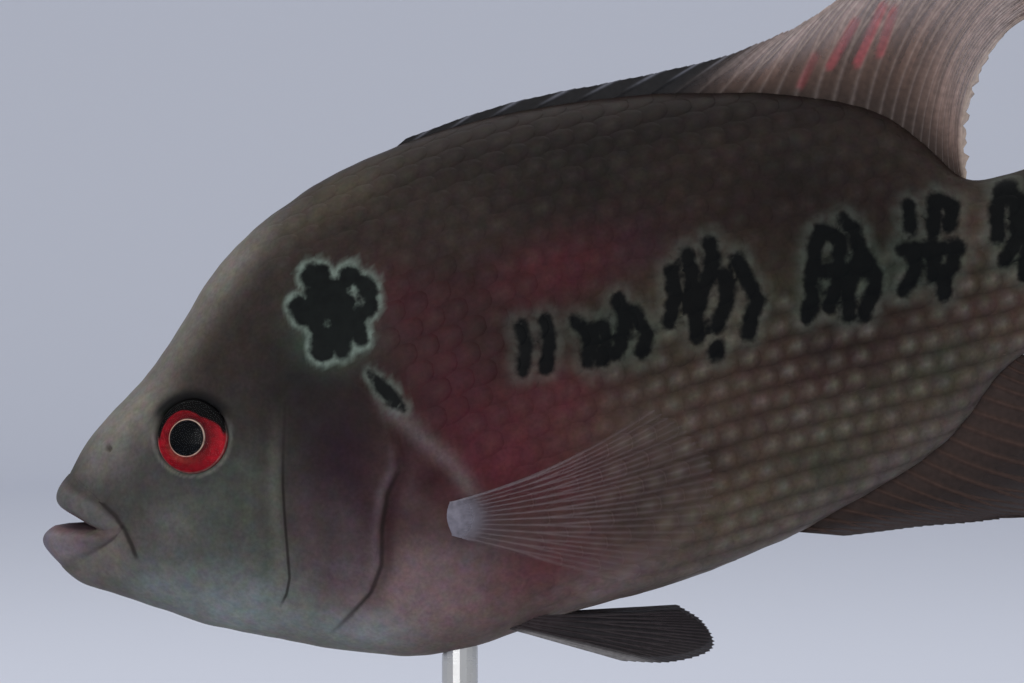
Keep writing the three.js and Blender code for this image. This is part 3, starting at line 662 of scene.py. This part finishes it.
# Scales
# Thin round-ended plates in staggered rows over the body, each a closed solid sunk in the skin at its front
# and lifted at its rear. The shoulder's ridge, the slash under the spot, the spot's front and the breast
# are bare skin.
SCALE = {"pitch": 4.6, "row": 4.3, "half_length": 3.1, "half_height": 2.5, "lift": 0.022, "sunk": -0.03}
SPOT_MIDDLE = (60.5, 24)
ANGLES = 361
HEIGHT_STEP = 0.5
grid_u = np.arange(44, 212, 1.0)
grid_angle = np.linspace(0, np.pi, ANGLES)
table_y, table_v = section(*np.meshgrid(grid_u, grid_angle, indexing="ij"))
length = np.hypot(np.diff(table_y, axis=1), np.diff(table_v, axis=1)).cumsum(1)
length = np.hstack([np.zeros((len(grid_u), 1)), length])
height = length[:, ANGLES // 2:ANGLES // 2 + 1] - length
grid_h = np.arange(-90, 90, HEIGHT_STEP)
angle_table = np.array([np.interp(-grid_h, -row, grid_angle) for row in height])


def angle_of(u, h):
    """The section angle at h millimetres above the widest level along the skin, from the table of angles."""
    a = np.clip(u - grid_u[0], 0, len(grid_u) - 1.001)
    b = np.clip((h - grid_h[0]) / HEIGHT_STEP, 0, len(grid_h) - 1.001)
    i, j = a.astype(int), b.astype(int)
    a, b = a - i, b - j
    low = angle_table[i, j] * (1 - a) + angle_table[i + 1, j] * a
    high = angle_table[i, j + 1] * (1 - a) + angle_table[i + 1, j + 1] * a
    return low * (1 - b) + high * b


rng = np.random.default_rng(7)
row_index, place_index = np.meshgrid(np.arange(-20, 20), np.arange(0, 36), indexing="ij")
centre_h = (row_index + 0.5).ravel() * SCALE["row"]
centre_u = (50 + place_index * SCALE["pitch"] + (row_index % 2) * SCALE["pitch"] / 2).ravel()
top = np.interp(centre_u, grid_u, height[:, 0])
bottom = np.interp(centre_u, grid_u, height[:, -1])
_, centre_v = section(centre_u, angle_of(centre_u, centre_h))
_, behind_gill, _ = path_distance(GILL_LINE, centre_u, centre_v)
nape_line = 50 + 0.12 * (50 - centre_v)
wanted = (centre_h < top - 1.2) & (centre_h > bottom + 1.2) & (centre_u < 207)
wanted &= np.where(centre_v > 13, centre_u > nape_line, behind_gill > 3.0)
wanted &= path_distance(SHOULDER, centre_u, centre_v)[0] > 3.4
wanted &= path_distance(SLASH, centre_u, centre_v)[0] > 5
wanted &= (centre_v > -9) | (centre_u > 84)
wanted &= np.hypot(centre_u - SPOT_MIDDLE[0], centre_v - SPOT_MIDDLE[1]) > 9.5
wanted &= (centre_u > 66) | (centre_v > 33)
centre_u, centre_h = centre_u[wanted], centre_h[wanted]
count = len(centre_u)
# one plate: 8 places along it by 7 across it, from -1 to 1, and a point under its middle
plate_u = np.array([-1, -0.5, 0, 0.35, 0.65, 0.85, 0.95, 1])[:, None] * np.ones(7)
plate_v = np.ones(8)[:, None] * np.array([-1, -0.88, -0.5, 0, 0.5, 0.88, 1])
on_border = (np.abs(plate_v) == 1) | (np.abs(plate_u) == 1)
plate_lift = SCALE["lift"] * (plate_u + 1) / 2 + 0.03 * (1 - plate_v**2) + 0.02
plate_lift = np.append(np.where(on_border, SCALE["sunk"], plate_lift).ravel(), -0.5)
round_end = np.sqrt(1 - 0.93 * np.clip(plate_u, 0, 1) ** 2.4)
plate_u, plate_v = np.append(plate_u.ravel(), 0), np.append((plate_v * round_end).ravel(), 0)
cell = (np.arange(7)[:, None] * 7 + np.arange(6)).ravel()
plate_quads = np.stack([cell, cell + 7, cell + 8, cell + 1], -1)
border = np.concatenate([np.arange(0, 7), np.arange(13, 56, 7), np.arange(54, 48, -1), np.arange(42, 0, -7)])
plate_ends = np.stack([np.full(len(border), 56), border, np.roll(border, -1)], -1)
plate_points = len(plate_u)
scale_paint = flesh_paint("scale_paint", 0.42)
for side, name in ((-1, "scales_left"), (1, "scales_right")):
    twist = rng.normal(0, 0.04, (count, 1))
    along = SCALE["half_length"] * (plate_u + twist * plate_v)
    across = SCALE["half_height"] * (plate_v - twist * plate_u)
    u = np.clip(centre_u[:, None] + rng.normal(0, 0.12, (count, 1)) + along, 46, 209.5)
    h = centre_h[:, None] + rng.normal(0, 0.1, (count, 1)) + across
    where_u, where_y, where_v = skin_point(u, side * angle_of(u, h), plate_lift * np.ones((count, 1)))
    lower_rear = step(88, 128, where_u) * (1 - step(-4, 9, where_v - 0.04 * (where_u - 120)))
    pearl = (0.05 + 0.42 * lower_rear) * rng.uniform(0.15, 1, (count, 1))
    pearl = pearl * bell(plate_u - 0.25, 0.36) * bell(plate_v, 0.42)
    colour = blended(tint(where_u, where_v), (122, 118, 108), pearl)
    shadow = 1 - (0.03 + 0.26 * lower_rear) * step(0.4, 0.95, np.abs(plate_v)) - 0.03 * step(0.75, 1, plate_u)
    bar = 0.08 * bell(plate_u - 0.1, 0.35) * (1 - lower_rear)
    colour = colour * ((shadow + bar) * rng.uniform(0.93, 1.07, (count, 1)))[..., None]
    black, pale = markings(where_u, where_v)
    offset = np.arange(count)[:, None, None] * plate_points
    patch_u = 0.05 + 0.9 * (centre_u[:, None] - 44) / 168 + 0.0015 * plate_u
    patch_v = 0.05 + 0.9 * angle_of(centre_u, centre_h)[:, None] / np.pi + 0.0015 * plate_v
    points = placed(where_u.ravel(), where_y.ravel(), where_v.ravel())
    patches = np.stack([patch_u.ravel(), patch_v.ravel()], -1)
    scales = mesh_object(
        name, points, plate_quads + offset, plate_ends + offset, patches,
        tint=colour.reshape(-1, 3), black=black.ravel(), pale=pale.ravel(),
    )
    ends_of = np.empty(2 * len(scales.data.edges), np.int32)
    scales.data.edges.foreach_get("vertices", ends_of)
    around = np.full(plate_points, -9)
    around[border] = np.arange(len(border))
    a, b = around[ends_of.reshape(-1, 2) % plate_points].T
    rim_edge = (a >= 0) & (b >= 0) & np.isin(np.abs(a - b), (1, len(border) - 1))
    scales.data.attributes.new("sharp_edge", "BOOLEAN", "EDGE").data.foreach_set("value", rim_edge)
    scales.data.materials.append(scale_paint)
    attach(scales, "root")


# Eyes
# A red iris dished round a domed black pupil with a thin gold ring, under a clear cornea. The ball is
# turned forwards and tilted up with the cheek, and a dark lid hangs over its upper edge.
EYE_TURN, EYE_TILT = math.radians(15), math.radians(12)
EYE_RADIUS, PUPIL_RADIUS, GOLD_RADIUS, CORNEA_RISE = 7.2, 3.4, 3.5, 2.15
PUPIL_A, PUPIL_C = -0.9, -0.25
EYE_COLUMNS = 96
LID_DIRECTIONS, LID_HANG = (-14, 5, 25, 45, 65, 90, 120, 150, 175), (0, 0.5, 1.5, 2.0, 1.7, 1.1, 0.75, 0.5, 0)
eye_profile = smooth([
    (0, 1.55), (2, 1.4), (3.1, 1.0), (3.45, 0.95), (3.8, 0.75), (5, 0.45), (6.2, 0.15), (6.8, -0.1),
    (7.1, -0.7), (7.2, -2.2),
])


def turned(x, y, angle):
    """A pair of coordinates turned: x cos - y sin, x sin + y cos."""
    return x * math.cos(angle) - y * math.sin(angle), x * math.sin(angle) + y * math.cos(angle)


def eye_place(a, b, c, side):
    """Local a along the body, b outwards and c up, tilted up, turned forwards and set on the cheek."""
    y, c = turned(side * b, c, side * EYE_TILT)
    a, y = turned(a, y, side * EYE_TURN)
    middle, height = level(EYE[0]), back(EYE[0]) - level(EYE[0])
    cheek = half_width(EYE[0]) * (1 - ((EYE[1] - middle) / height) ** 2) ** (BULGE_ABOVE / 2)
    return placed(EYE[0] + a, side * cheek + y, EYE[1] + c)


def iris_colour(rho, facing):
    """Red by radius and direction: brighter fore and aft, dusky inside, then lid, rim, gold and pupil."""
    red = linear((112, 12, 22)) * np.ones((len(rho), 1))
    bright = np.maximum(bell(facing + 25, 40), 0.7 * bell(np.abs(facing) - 180, 50))
    red = blended(red, (150, 19, 32), bright * step(4.4, 5.6, rho))
    red = blended(red, (150, 66, 54), 0.6 * bell(facing + 130, 60) * bell(rho - 4.2, 0.8))
    dusk = (1 - step(3.5, 4.9, rho)) * (0.3 + 0.7 * window(-110, -40, 90, 130, facing))
    red = blended(red, (52, 14, 18), 0.85 * dusk)
    hang = np.interp(facing, LID_DIRECTIONS, LID_HANG)
    red = blended(red, (6, 6, 7), step(6.3, 6.6, rho + hang) * step(0, 0.3, hang))
    pale_rim = bell(rho - 6.9, 0.13) * (1 - window(-10, 15, 150, 175, facing))
    red = blended(red, (140, 124, 120), 0.5 * pale_rim)
    red = blended(red, (190, 166, 150), bell(rho - GOLD_RADIUS, 0.085))
    return np.where((rho < PUPIL_RADIUS)[:, None], linear((4, 5, 8)), red)


eye_paint, tree, shader, place = new_paint("eye_paint")
mottle = ramp(tree, noise(tree, place, 1100, 4), 0.3, 0.7, 0.6, 1.35)
red_mottled = shaded(tree, carried(tree, "tint", "Color"), mottle)
feed(tree, shader, {"Base Color": red_mottled, "Roughness": 0.35, "Specular IOR Level": 0.03})
cornea_paint, tree, shader, _ = new_paint("cornea_clear")
feed(tree, shader, {"Base Color": (0.02, 0.02, 0.022, 1), "Roughness": 0.06, "Alpha": 0.04})
angle = np.arange(EYE_COLUMNS) * 2 * np.pi / EYE_COLUMNS
pupil_rings, gold_rings = np.linspace(0.15, 3.2, 14), np.linspace(3.3, 3.7, 9)
front_rings = np.concatenate([pupil_rings, gold_rings, np.linspace(3.8, EYE_RADIUS, 41)])
cornea_rings = np.linspace(0.2, 6.9, 30)
for side, name in ((-1, "left"), (1, "right")):
    rho = np.append(front_rings, [5, 2])[:, None] * np.ones(EYE_COLUMNS)
    out = eye_profile(np.minimum(rho, EYE_RADIUS))
    out[len(front_rings):] = -2.6
    inward = 1 - step(2.5, 7, rho)
    a = rho * np.cos(angle) + PUPIL_A * inward
    c = rho * np.sin(angle) + PUPIL_C * inward
    a, b, c, rho = (
        np.concatenate([[front], ring.ravel(), [rear]])
        for front, ring, rear in ((PUPIL_A, a, 0), (1.55, out, -2.6), (PUPIL_C, c, 0), (0, rho, 0))
    )
    facing = np.degrees(np.arctan2(c - PUPIL_C, a - PUPIL_A))
    quads, ends = ring_faces(len(front_rings) + 2, EYE_COLUMNS)
    red = iris_colour(rho, facing)
    eye = mesh_object("eye_" + name + "_ball", eye_place(a, b, c, side), quads, ends, tint=red)
    eye.data.materials.append(eye_paint)
    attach(eye, "root")
    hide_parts("eye_" + name)
    rho = np.append(cornea_rings, np.linspace(6.8, 0.4, 12))[:, None] * np.ones(EYE_COLUMNS)
    out = CORNEA_RISE - 0.047 * rho**2
    out[len(cornea_rings):] -= 0.12
    a, b, c = (
        np.concatenate([[front], ring.ravel(), [rear]])
        for front, ring, rear in (
            (0, rho * np.cos(angle), 0), (CORNEA_RISE, out, CORNEA_RISE - 0.12), (0, rho * np.sin(angle), 0),
        )
    )
    quads, ends = ring_faces(len(rho), EYE_COLUMNS)
    cornea = mesh_object("cornea_" + name, eye_place(a, b, c, side), quads, ends)
    cornea.data.materials.append(cornea_paint)
    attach(cornea, "root")


# Fins
# Thin clear skin stretched between bony rays. Each fin is a closed sheet: the rays stand out as ridges on
# both faces, fork twice and end in a ragged margin, and the clear skin between them lets light through.
def fin_grid(keys, rays, steps, rows):
    """Shares t across a fin and r along its rays, and each column of the keys as a smooth curve of t."""
    t, r = np.meshgrid(np.linspace(0, 1, rays * steps + 1), np.linspace(0, 1, rows))
    index = np.linspace(0, 1, len(keys))
    return t, r, *(smooth(np.column_stack([index, column]))(t) for column in np.transpose(keys))


def rays_at(t, r, count, fork=(0.3, 0.55), again=(0.6, 0.82)):
    """Ridge exp(-(x / w)^2) of the distance x to the nearest ray; each ray forks in two and again in four."""
    x = (t * count) % 1 - 0.5
    one = 0.25 * step(*fork, r)
    two = 0.125 * step(*again, r)
    x = np.abs(np.abs(np.abs(x) - one) - two)
    return bell(x, 0.13 - 0.08 * step(fork[0], 1, r))


def fin_object(name, points, thickness, tint, cover, node):
    """The middle surface moved half the thickness to each side along its normal, and closed all round."""
    rows, columns = points.shape[:2]
    normal = np.cross(np.gradient(points, axis=1), np.gradient(points, axis=0))
    normal /= np.linalg.norm(normal, axis=-1, keepdims=True) + 1e-9
    half = normal * thickness[..., None] / 2
    faces = np.concatenate([points + half, points - half])
    cell = (np.arange(rows - 1)[:, None] * columns + np.arange(columns - 1)).ravel()
    near = np.stack([cell, cell + 1, cell + columns + 1, cell + columns], -1)
    size = rows * columns
    rim = np.concatenate([
        np.arange(columns), np.arange(2 * columns - 1, size, columns),
        np.arange(size - 2, size - columns - 1, -1), np.arange(size - 2 * columns, 0, -columns),
    ])
    onward = np.roll(rim, -1)
    sides = np.stack([rim, rim + size, onward + size, onward], -1)
    made = mesh_object(
        name, placed(*faces.reshape(-1, 3).T), np.vstack([near, near[:, ::-1] + size, sides]),
        tint=np.vstack([tint.reshape(-1, 3)] * 2), cover=np.concatenate([cover.ravel()] * 2),
    )
    made.data.materials.append(fin_paint)
    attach(made, "root")
    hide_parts(node)


fin_paint, tree, shader, place = new_paint("fin_paint")
grain = ramp(tree, noise(tree, place, 900, 4), 0.3, 0.7, 0.8, 1.2)
ray_colour = shaded(tree, carried(tree, "tint", "Color"), grain)
feed(tree, shader, {
    "Base Color": ray_colour, "Alpha": carried(tree, "cover"), "Roughness": 0.5, "Specular IOR Level": 0.12,
})


def median_points(t, r, base, tip_u, tip_v, bow, root_v, reach, wave):
    """From root to tip, bowed by 4 bow r (1 - r), and waved out of the middle plane by r^2 sin(2.2 pi t)."""
    span_u, span_v = tip_u - base, tip_v - root_v
    bend = bow * 4 * r * (1 - r)
    out = wave * r * r * np.sin(2.2 * np.pi * t)
    return np.stack([base + span_u * reach - span_v * bend, out, root_v + span_v * reach + span_u * bend], -1)


# Dorsal fin
# Stiff spines folded along the back, then a raised soft part with a trailing lobe, a ragged rear edge and a
# few red streaks. Each ray is given by its root, its tip and its bow.
DORSAL = [
    (75, 82, 51.6, 0), (90, 101, 53, 0), (108, 121, 52, 0), (125, 139, 51, 0.01), (136, 152, 51.8, 0.02),
    (145, 163, 54, 0.05), (152.5, 173.5, 57.6, 0.08), (160, 187, 61.2, 0.1), (166.5, 200.5, 62, 0.12),
    (171, 212, 60, 0.14), (174.4, 218, 57, 0.16), (177, 216.6, 53.4, 0.18), (179.2, 212.8, 50.2, 0.19),
    (181, 208.4, 47.4, 0.19), (182.6, 203.5, 44.6, 0.16),
]
DORSAL_RAYS, DORSAL_SUNK = 30, 1.7
RED_STREAKS = [
    ((157, 42), (161, 46.5), 0.3), ((163.3, 44), (170, 50.8), 0.6), ((168.5, 43.3), (175.9, 52.3), 0.7),
    ((173.1, 43.9), (177.7, 51.2), 0.55),
]
t, r, base, tip_u, tip_v, bow = fin_grid(DORSAL, DORSAL_RAYS, 14, 45)
soft = step(0.22, 0.36, t)
ridge = rays_at(t, r, DORSAL_RAYS) * soft + rays_at(t, r, DORSAL_RAYS, (0.95, 1), (0.98, 1)) * (1 - soft)
root_v = back(base) - DORSAL_SUNK
ripple = 0.015 * np.sin(t * 70) + 0.012 * np.sin(t * 163 + 1)
reach = r * (1 - 0.035 * (1 - ridge) * step(0.75, 1, r) + ripple * step(0.5, 1, r))
wave = 1.6 * np.minimum(np.hypot(tip_u - base, tip_v - root_v) / 40, 1)
points = median_points(t, r, base, tip_u, tip_v, bow, root_v, reach, wave)
fringe = (0.5 + 0.3 * np.sin(61 * r) + 0.35 * np.sin(97 * r + 1)) * window(0.03, 0.1, 0.5, 0.85, r)
points[..., 0] += 1.1 * step(0.975, 1, t) * fringe
colour = blended((50, 40, 36), (94, 72, 62), step(0, 0.35, r) * soft)
colour = blended(colour, (150, 128, 122), step(0.25, 0.7, r) * soft * 0.85)
colour = blended(colour, (138, 116, 108), step(0.6, 0.85, t) * step(0.02, 0.25, r) * 0.7)
from_ray_to_ray = np.sin(np.floor(t * DORSAL_RAYS) * 2.4)
colour = colour * (1 + 0.26 * from_ray_to_ray * soft * step(0.05, 0.3, r))[..., None]
colour = blended(colour, (26, 27, 30), (1 - soft) * 0.9)
colour = blended(colour, (168, 156, 152), ridge * soft * (0.12 + 0.7 * step(0.1, 0.8, r)))
# pale spine tips with a painted highlight along the folded spines' ridges
colour = blended(colour, (128, 130, 142), (1 - soft) * ridge**2 * step(0.45, 0.95, r) * 0.55)
colour = blended(colour, (176, 160, 148), step(0.955, 0.995, t) * 0.75)
for a, b, strength in RED_STREAKS:
    away, _, _ = path_distance([a, b], points[..., 0], points[..., 2])
    colour = blended(colour, (162, 58, 72), strength * (1 - step(0.3, 1.3, away)) * (0.75 + 0.25 * ridge))
cover = 0.97 - soft * step(0.05, 0.5, r) * (0.36 - 0.32 * ridge)
fin_object("dorsal_fin_sheet", points, 0.28 + 0.45 * ridge * (1 - 0.7 * r), colour, cover, "dorsal_fin")

# Anal fin
# Dark brown, trailing far back under the tail stem. Its rays are given as the dorsal fin's are.
ANAL = [
    (132.5, 143, -43, 0), (140, 159, -45.4, -0.02), (148, 173.5, -47.8, -0.05), (155, 187.5, -50.2, -0.08),
    (161.5, 200.5, -49.6, -0.08), (167.5, 212, -46.4, -0.08), (173, 219, -40, -0.08),
    (177.5, 207, -33.6, -0.08), (181, 197.5, -27.4, -0.08), (183.8, 190.5, -22.4, -0.08),
]
ANAL_RAYS, ANAL_SUNK = 18, 1.2
t, r, base, tip_u, tip_v, bow = fin_grid(ANAL, ANAL_RAYS, 14, 45)
ridge = rays_at(t, r, ANAL_RAYS)
ripple = 0.015 * np.sin(t * ANAL_RAYS * 2 * np.pi * 0.41)
reach = r * (1 - 0.03 * (1 - ridge) * step(0.75, 1, r) + ripple)
points = median_points(t, r, base, tip_u, tip_v, bow, belly(base) + ANAL_SUNK, reach, 1.4)
colour = blended((54, 42, 38), (36, 27, 25), step(0, 0.4, r))
colour = blended(colour, (70, 52, 45), ridge * 0.6)
colour = blended(colour, (34, 29, 28), step(0.85, 1, r) * 0.6)
cover = 0.98 - step(0.1, 0.7, r) * (0.24 - 0.16 * ridge)
fin_object("anal_fin_sheet", points, 0.28 + 0.5 * ridge * (1 - 0.7 * r), colour, cover, "anal_fin")

# Tail fin
# A rounded fan on the end of the tail stem. Each ray is given by the height of its root and by its tip.
TAIL = [
    (16.2, 226, 27.5), (14.6, 240, 33.5), (11.4, 250.5, 31.5), (7, 258, 22), (0, 262.4, 2), (-2, 262.4, -5),
    (-9, 258, -25), (-13, 250.5, -34.5), (-16.4, 240, -36.5), (-18, 226, -30.5),
]
TAIL_RAYS = 17
FAN_START = 206.5
t, r, root_v, tip_u, tip_v = fin_grid(TAIL, TAIL_RAYS, 16, 51)
ridge = rays_at(t, r, TAIL_RAYS, (0.2, 0.45), (0.5, 0.75))
reach = r * (1 - 0.02 * (1 - ridge) * step(0.8, 1, r))
points = median_points(t, r, FAN_START, tip_u, tip_v, 0, root_v, reach, 2.2)
colour = blended((58, 49, 46), (66, 50, 49), step(0.1, 0.6, r))
colour = blended(colour, (92, 76, 72), ridge * 0.5)
colour = blended(colour, (98, 84, 84), step(0.88, 1, r) * 0.5)
cover = 0.98 - step(0.1, 0.7, r) * (0.26 - 0.16 * ridge)
fin_object("tail_fin_sheet", points, 0.3 + 0.6 * ridge * (1 - 0.7 * r), colour, cover, "tail_fin")


# Pectoral fins
# Nearly clear fans, one on each flank behind the gill cover. Each comes out of the armpit on a short fleshy
# stalk and hangs back and down along the body.
def pair_of_fins(name, u, out, v, thickness, colour, cover):
    """The same fan on the left and on the right flank, each that far out to its own side."""
    for side, which in ((-1, "left"), (1, "right")):
        points = np.stack([u, side * out, v], -1)
        fin_object(name + "_sheet_" + which, points, thickness, colour, cover, name + "_fin_" + which)


PECTORAL = [(113.4, -9.6), (118.6, -15), (121.4, -22), (119.4, -30), (111, -36.6), (99, -39.6)]
PECTORAL_RAYS = 13
PECTORAL_ROOT, PECTORAL_ROOT_LENGTH = (68.5, -16.9), 4.5
t, r, tip_u, tip_v = fin_grid(PECTORAL, PECTORAL_RAYS, 14, 61)
ridge = rays_at(t, r, PECTORAL_RAYS, (0.35, 0.6), (0.97, 1.2)) * step(0.08, 0.24, r)
root_u, root_v = PECTORAL_ROOT[0], PECTORAL_ROOT[1] - PECTORAL_ROOT_LENGTH * t
below = (level(root_u) - root_v) / (level(root_u) - belly(root_u))
flank = half_width(root_u) * np.sqrt(1 - below**2) ** BULGE_BELOW
reach = r * (1 - 0.02 * (1 - ridge) * step(0.8, 1, r))
sag = -2.2 * np.sin(np.pi * r) * (1 - t)
out = 4.4 * np.sin(np.minimum(r * 5, 1) * np.pi / 2) + 5.2 * r * (1 - 0.25 * t) - 2.2
out = flank + out - 1.6 * (2 * t - 1) ** 2 * (1 - step(0.02, 0.22, r))
stalk = np.maximum(1 - 4.2 * r, 0) ** 1.5 * np.sin(np.pi * np.clip(t, 0.04, 0.96)) ** 0.5
leading = 1 - step(0.0, 0.06, t)
colour = blended((116, 113, 124), (96, 84, 86), step(0.12, 0.32, r))
colour = blended(colour, (128, 116, 118), ridge * 0.7)
colour = blended(colour, (120, 116, 122), leading * (1 - step(0.2, 0.7, r)) * 0.8)
cover = 0.97 - step(0.08, 0.22, r) * (0.92 - (0.36 - 0.24 * step(0.25, 0.9, r)) * ridge * (1 - 0.5 * t))
cover = np.clip(cover + 0.3 * leading * (1 - step(0.3, 0.8, r)), 0, 1)
thick = 0.2 + 0.22 * ridge * (1 - 0.6 * r) + 2.6 * stalk
u = root_u + (tip_u - root_u) * reach
v = root_v + (tip_v - root_v) * reach + sag
pair_of_fins("pectoral", u, out, v, thick, colour, cover)

# Pelvic fins
# Small, dark and folded back under the belly, with a pale leading edge.
PELVIC = [(96, -54.4), (105, -57), (112.7, -56.7), (113, -52.6), (109, -48)]
PELVIC_RAYS = 6
PELVIC_ROOT, PELVIC_ROOT_LENGTH = (74, -41.6), 6
t, r, tip_u, tip_v = fin_grid(PELVIC, PELVIC_RAYS, 16, 45)
ridge = rays_at(t, r, PELVIC_RAYS, (0.35, 0.6), (0.65, 0.85))
reach = r * (1 - 0.012 * (1 - ridge) * step(0.8, 1, r))
root_u, root_v = PELVIC_ROOT[0] + PELVIC_ROOT_LENGTH * t, PELVIC_ROOT[1]
u = root_u + (tip_u - root_u) * reach
v = root_v + (tip_v - root_v) * reach
out = 6 + 5 * r + 1.5 * t * r
stalk = np.maximum(1 - 3.6 * r, 0) ** 2
colour = blended((50, 42, 45), (31, 28, 31), step(0.05, 0.4, r))
colour = blended(colour, (64, 56, 58), ridge * 0.5)
colour = blended(colour, (128, 126, 128), (1 - step(0.05, 0.24, t)) * step(0.12, 0.3, r) * 0.9)
cover = 0.98 - step(0.2, 0.8, r) * (0.2 - 0.15 * ridge)
thick = 0.3 + 0.4 * ridge * (1 - 0.6 * r) + 1.8 * stalk
pair_of_fins("pelvic", u, out, v, thick, colour, cover)


# Stand
# A flat base of pale lacquered wood with a faint grain, and a brushed steel rod set in it that carries the
# fish. Both are shown as built.
lacquer, tree, shader, place = new_paint("pale_lacquer")
stretch = add_node(tree, "ShaderNodeMapping", {"Vector": place, "Scale": (12, 160, 160)}).outputs[0]
grain = ramp(tree, noise(tree, stretch, 3, 5), 0.3, 0.7, 0.0, 1.0)
wood = mixed(tree, grain, (0.6, 0.585, 0.56, 1), (0.68, 0.67, 0.65, 1))
feed(tree, shader, {"Base Color": wood, "Roughness": 0.45})
steel, tree, shader, place = new_paint("brushed_steel")
stretch = add_node(tree, "ShaderNodeMapping", {"Vector": place, "Scale": (300, 300, 4000)}).outputs[0]
shade = ramp(tree, noise(tree, stretch, 1, 2), 0.3, 0.7, 0.26, 0.4)
feed(tree, shader, {"Base Color": (0.55, 0.55, 0.54, 1), "Metallic": 1.0, "Roughness": shade})
for node, paint in (("stand_base", lacquer), ("stand_rod", steel)):
    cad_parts[node].data.materials.clear()
    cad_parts[node].data.materials.append(paint)


# Room
# A pale paper sweep that is the floor in front and a wall far behind, and three broad soft lamps: one over
# the fish, one in front of it and one on the paper behind it.
SWEEP_ROWS, SWEEP_COLUMNS, SWEEP_HALF = 81, 33, 5
BEND_RADIUS = 0.8
sideways = np.linspace(-SWEEP_HALF, SWEEP_HALF, SWEEP_COLUMNS)
across, along = np.meshgrid(sideways, np.linspace(0, 1, SWEEP_ROWS))
bend = np.clip((along - 0.5) / 0.25, 0, 1) * np.pi / 2
depth = np.where(along < 0.5, -5 + 16 * along, 3 + BEND_RADIUS * np.sin(bend))
rise = np.where(along < 0.5, 0, BEND_RADIUS * (1 - np.cos(bend))) + 12 * np.clip(along - 0.75, 0, 1)
cell = (np.arange(SWEEP_ROWS - 1)[:, None] * SWEEP_COLUMNS + np.arange(SWEEP_COLUMNS - 1)).ravel()
sweep_faces = np.stack([cell, cell + 1, cell + SWEEP_COLUMNS + 1, cell + SWEEP_COLUMNS], -1)
sweep_points = np.stack([across, depth, rise], -1).reshape(-1, 3)
sweep_mesh = bpy.data.meshes.new("sweep")
sweep_mesh.from_pydata(sweep_points.tolist(), [], sweep_faces.tolist())
sweep_mesh.polygons.foreach_set("use_smooth", np.ones(len(sweep_mesh.polygons), bool))
sweep = bpy.data.objects.new("sweep", sweep_mesh)
bpy.context.collection.objects.link(sweep)
paper, tree, shader, _ = new_paint("pale_paper")
feed(tree, shader, {"Base Color": (0.59, 0.62, 0.715, 1), "Roughness": 0.9, "Specular IOR Level": 0.1})
sweep_mesh.materials.append(paper)
world = bpy.data.worlds.new("soft_room")
world.use_nodes = True
feed(world.node_tree, world.node_tree.nodes["Background"], {"Color": (1.0, 1.0, 1.0, 1), "Strength": 0.74})
bpy.context.scene.world = world
for name, place, aim, size, power in (
    ("light_over", (-0.3, 0.35, 1.2), (0, 0, 0.1), 1.2, 2.6),
    ("light_front", (-0.5, -1.5, 0.3), (0, 0, 0.08), 1.0, 7.5),
    ("light_wall", (0.0, 0.2, 1.6), (0, 0.9, 0.4), 1.4, 3.0),
):
    lamp = bpy.data.lights.new(name, "AREA")
    lamp.shape = "DISK"
    lamp.size = size
    lamp.energy = power
    lit = bpy.data.objects.new(name, lamp)
    bpy.context.collection.objects.link(lit)
    lit.location = place
    x, y, z = np.array(aim) - np.array(place)
    lit.rotation_euler = (math.atan2(math.hypot(x, y), -z), 0, math.atan2(y, x) - math.pi / 2)

# Camera
# Level and square to the left flank, and framed as the photo is: it takes in 194.6 mm across at the fish's
# middle.
DISTANCE, VIEW_WIDTH, SENSOR = 1.2, 0.1946, 36
lens = bpy.data.cameras.new("camera")
lens.sensor_width = SENSOR
lens.lens = SENSOR * DISTANCE / VIEW_WIDTH
lens.clip_end = 20
camera = bpy.data.objects.new("camera", lens)
bpy.context.collection.objects.link(camera)
camera.location = (SNOUT_X + 0.0859, -DISTANCE, SNOUT_Z + 0.0324)
camera.rotation_euler = (math.pi / 2, 0, 0)
bpy.context.scene.camera = camera
bpy.context.scene.view_settings.view_transform = "Standard"
